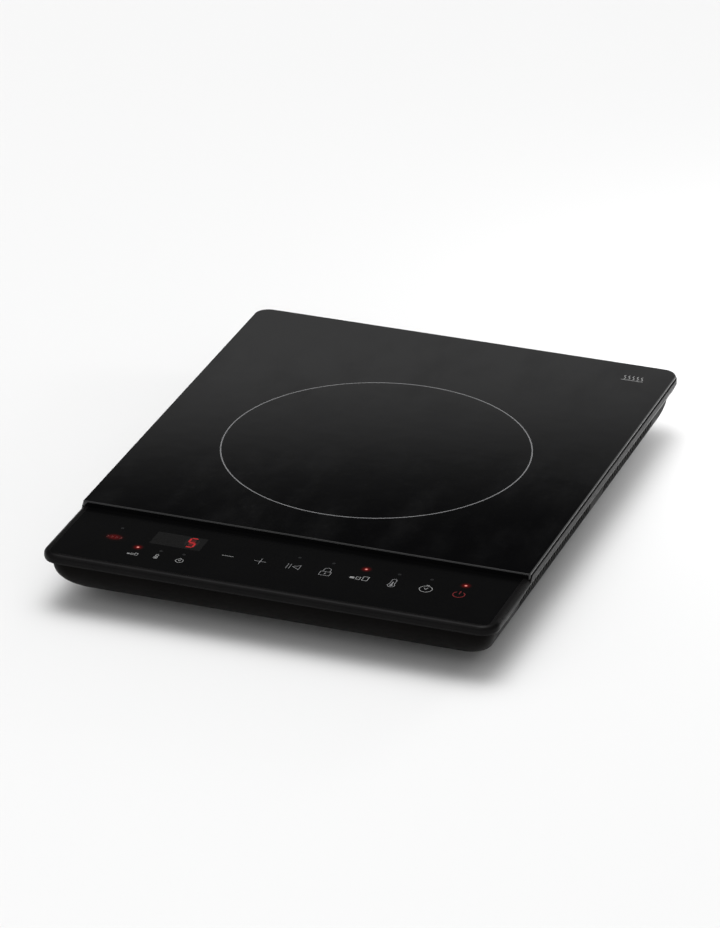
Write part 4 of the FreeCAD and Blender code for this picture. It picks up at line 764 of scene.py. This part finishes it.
def build_ring():
    """The thin printed ring that marks the cooking zone, round the coil's centre."""
    x, y = COIL_X / MM, COIL_Y / MM
    bm = bmesh.new()
    add_band(bm, circle(x, y, RING_RADIUS, RING_STEPS),
             circle(x, y, RING_RADIUS - RING_WIDTH, RING_STEPS), GLASS_TOP - INK_SINK, GLASS_Z)
    new_piece("cooking_zone_ring", bm, INK_GREY)


build_glass()
build_ring()
# the heat mark's ink carries the same painted glow, with no lamp under the glass
print_symbol("heat_symbol", heat_sign(HEAT_STROKE), HEAT_X, GLASS_FRONT + HEAT_Y, GLASS_TOP, 1.0,
             INK_SOFT_PAINTED_GLOW, INK_DEPTH)

# ---- blank plate in the shallow recess of the underside ----
LABEL_BOX = (-11.6, 67.6, 96.4, 137.6)
LABEL_CORNER = 2.1
LABEL_LOW, LABEL_HIGH = 0.04, 0.3
FLOOR_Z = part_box("lower_housing")[0].z / MM
label = bmesh.new()
add_prism(label, box_outline(*LABEL_BOX, LABEL_CORNER), FLOOR_Z + LABEL_LOW, FLOOR_Z + LABEL_HIGH)
new_piece("blank_label", label, moulded("label_foil", (0.16, 0.16, 0.165), 0.34, 0.15, 0.004,
                                        (0.3, 0.3, 0.3), 0.2, metal=0.6, mottle=0.08))


# ---- floor, light and camera ----
FLOOR_REACH = 40
# direction Y up to which the front's stops hold, and from which the rear's do
FRONT_UNTIL, REAR_FROM = -0.4, 0.2
# soft glows of the surroundings: heading from +X, elevation and reach in degrees, strength
GLOWS = ((68.0, 12.5, 9.5, 1.9), (78.0, 31.0, 22.0, 0.65), (-110.0, 86.0, 24.0, 6.0))
# brightness of the surroundings by height of the direction: in front of the cooktop and behind it
FRONT_STOPS = ((0.0, 0.70), (0.5, 0.54), (0.88, 0.65), (1.0, 3.0))
REAR_STOPS = ((0.0, 0.40), (0.14, 0.32), (0.30, 0.26), (0.4226, 0.33), (0.4318, 0.19),
              (0.438, 0.06), (0.446, 0.01), (0.62, 0.01), (0.82, 0.60), (1.0, 3.0))
# lights: name, place, aim, width and height, all in metres, and watts
KEY = ("key_front", (-0.5, -2.2, 2.0), (0.0, 0.0, 0.0), (1.6, 1.0), 4.0)
FLOOR_FILL = ("floor_right", (0.30, 0.36, 0.18), (0.21, 0.29, 0.0), (0.12, 0.12), 0.5)
CAMERA_PLACE = (1.08595, -3.03859, 1.60847)
CAMERA_TURN = (1.117998, -0.003241, 0.346796)
CAMERA_LENS, CAMERA_SENSOR = 218.2, 36.0
CAMERA_REACH = 200.0


def build_floor():
    reach = FLOOR_REACH
    bm = bmesh.new()
    bm.faces.new([bm.verts.new((x, y, 0.0))
                  for x, y in ((-reach, -reach), (reach, -reach), (reach, reach), (-reach, reach))])
    s = Shader("floor", Specular_IOR_Level=0.1, Roughness=0.9)
    s.principled("Base Color", s.mix(s.noise(FLOOR_CLOUD_MM, 2.0),
                                     (0.78, 0.78, 0.78), (0.80, 0.80, 0.80)))
    mesh_object("floor", bm, s.material)


def heading_vector(heading, elevation):
    """A unit vector from a heading and an elevation in degrees."""
    flat = math.cos(math.radians(elevation))
    return Vector((flat * math.cos(math.radians(heading)), flat * math.sin(math.radians(heading)),
                   math.sin(math.radians(elevation))))


def build_world():
    """Light from above, a dark band half way up behind, and three soft glows."""
    world = bpy.data.worlds.new("studio")
    bpy.context.scene.world = world
    world.use_nodes = True
    tree = world.node_tree
    background = tree.nodes["Background"]

    def add(kind, inputs=(), **settings):
        node = tree.nodes.new(kind)
        for key, value in settings.items():
            setattr(node, key, value)
        for socket, value in inputs:
            if isinstance(value, bpy.types.NodeSocket):
                tree.links.new(value, node.inputs[socket])
            else:
                node.inputs[socket].default_value = value
        return node

    def named(sockets, identifier):
        return next(item for item in sockets if item.identifier == identifier)

    direction = add("ShaderNodeTexCoord").outputs["Generated"]
    axes = add("ShaderNodeSeparateXYZ", [("Vector", direction)]).outputs
    rear_share = add("ShaderNodeMapRange", [("Value", axes["Y"]), ("From Min", FRONT_UNTIL),
                                            ("From Max", REAR_FROM)]).outputs["Result"]
    blend = add("ShaderNodeMix", [("Factor", rear_share)], data_type="RGBA")
    for socket, stops in (("A_Color", FRONT_STOPS), ("B_Color", REAR_STOPS)):
        ramp = add("ShaderNodeValToRGB", [("Fac", axes["Z"])])
        elements = ramp.color_ramp.elements
        while len(elements) < len(stops):
            elements.new(0.5)
        for element, (position, level) in zip(elements, stops):
            element.position = position
            element.color = (level, level, level, 1.0)
        tree.links.new(ramp.outputs["Color"], named(blend.inputs, socket))
    total = named(blend.outputs, "Result_Color")
    for heading, elevation, reach, peak in GLOWS:
        toward = add("ShaderNodeVectorMath",
                     [(0, direction), (1, heading_vector(heading, elevation))],
                     operation="DOT_PRODUCT")
        angle = add("ShaderNodeMath", [(0, toward.outputs["Value"])], operation="ARCCOSINE")
        glow = add("ShaderNodeMapRange", [("Value", angle.outputs[0]), ("From Min", 0.0),
                                          ("From Max", math.radians(reach)), ("To Min", peak),
                                          ("To Max", 0.0)])
        total = add("ShaderNodeMath", [(0, total), (1, glow.outputs["Result"])],
                    operation="ADD").outputs[0]
    tree.links.new(total, background.inputs["Color"])


def add_softbox(name, place, target, size, watts):
    light = bpy.data.lights.new(name, "AREA")
    light.shape = "RECTANGLE"
    light.size, light.size_y = size
    light.energy = watts
    obj = in_scene(bpy.data.objects.new(name, light))
    obj.location = place
    obj.rotation_euler = (Vector(target) - Vector(place)).to_track_quat("-Z", "Y").to_euler()
    return obj


def build_camera():
    data = bpy.data.cameras.new("photo_view")
    data.lens = CAMERA_LENS
    data.sensor_width = CAMERA_SENSOR
    data.clip_end = CAMERA_REACH
    camera = in_scene(bpy.data.objects.new("photo_view", data))
    camera.location = CAMERA_PLACE
    camera.rotation_euler = CAMERA_TURN
    bpy.context.scene.camera = camera


build_floor()
build_world()
add_softbox(*KEY)
fill = add_softbox(*FLOOR_FILL)
fill.visible_glossy = False  # it would show as a streak on the strip's right side
fill.visible_camera = False
build_camera()
bpy.context.scene.view_settings.view_transform = "Standard"
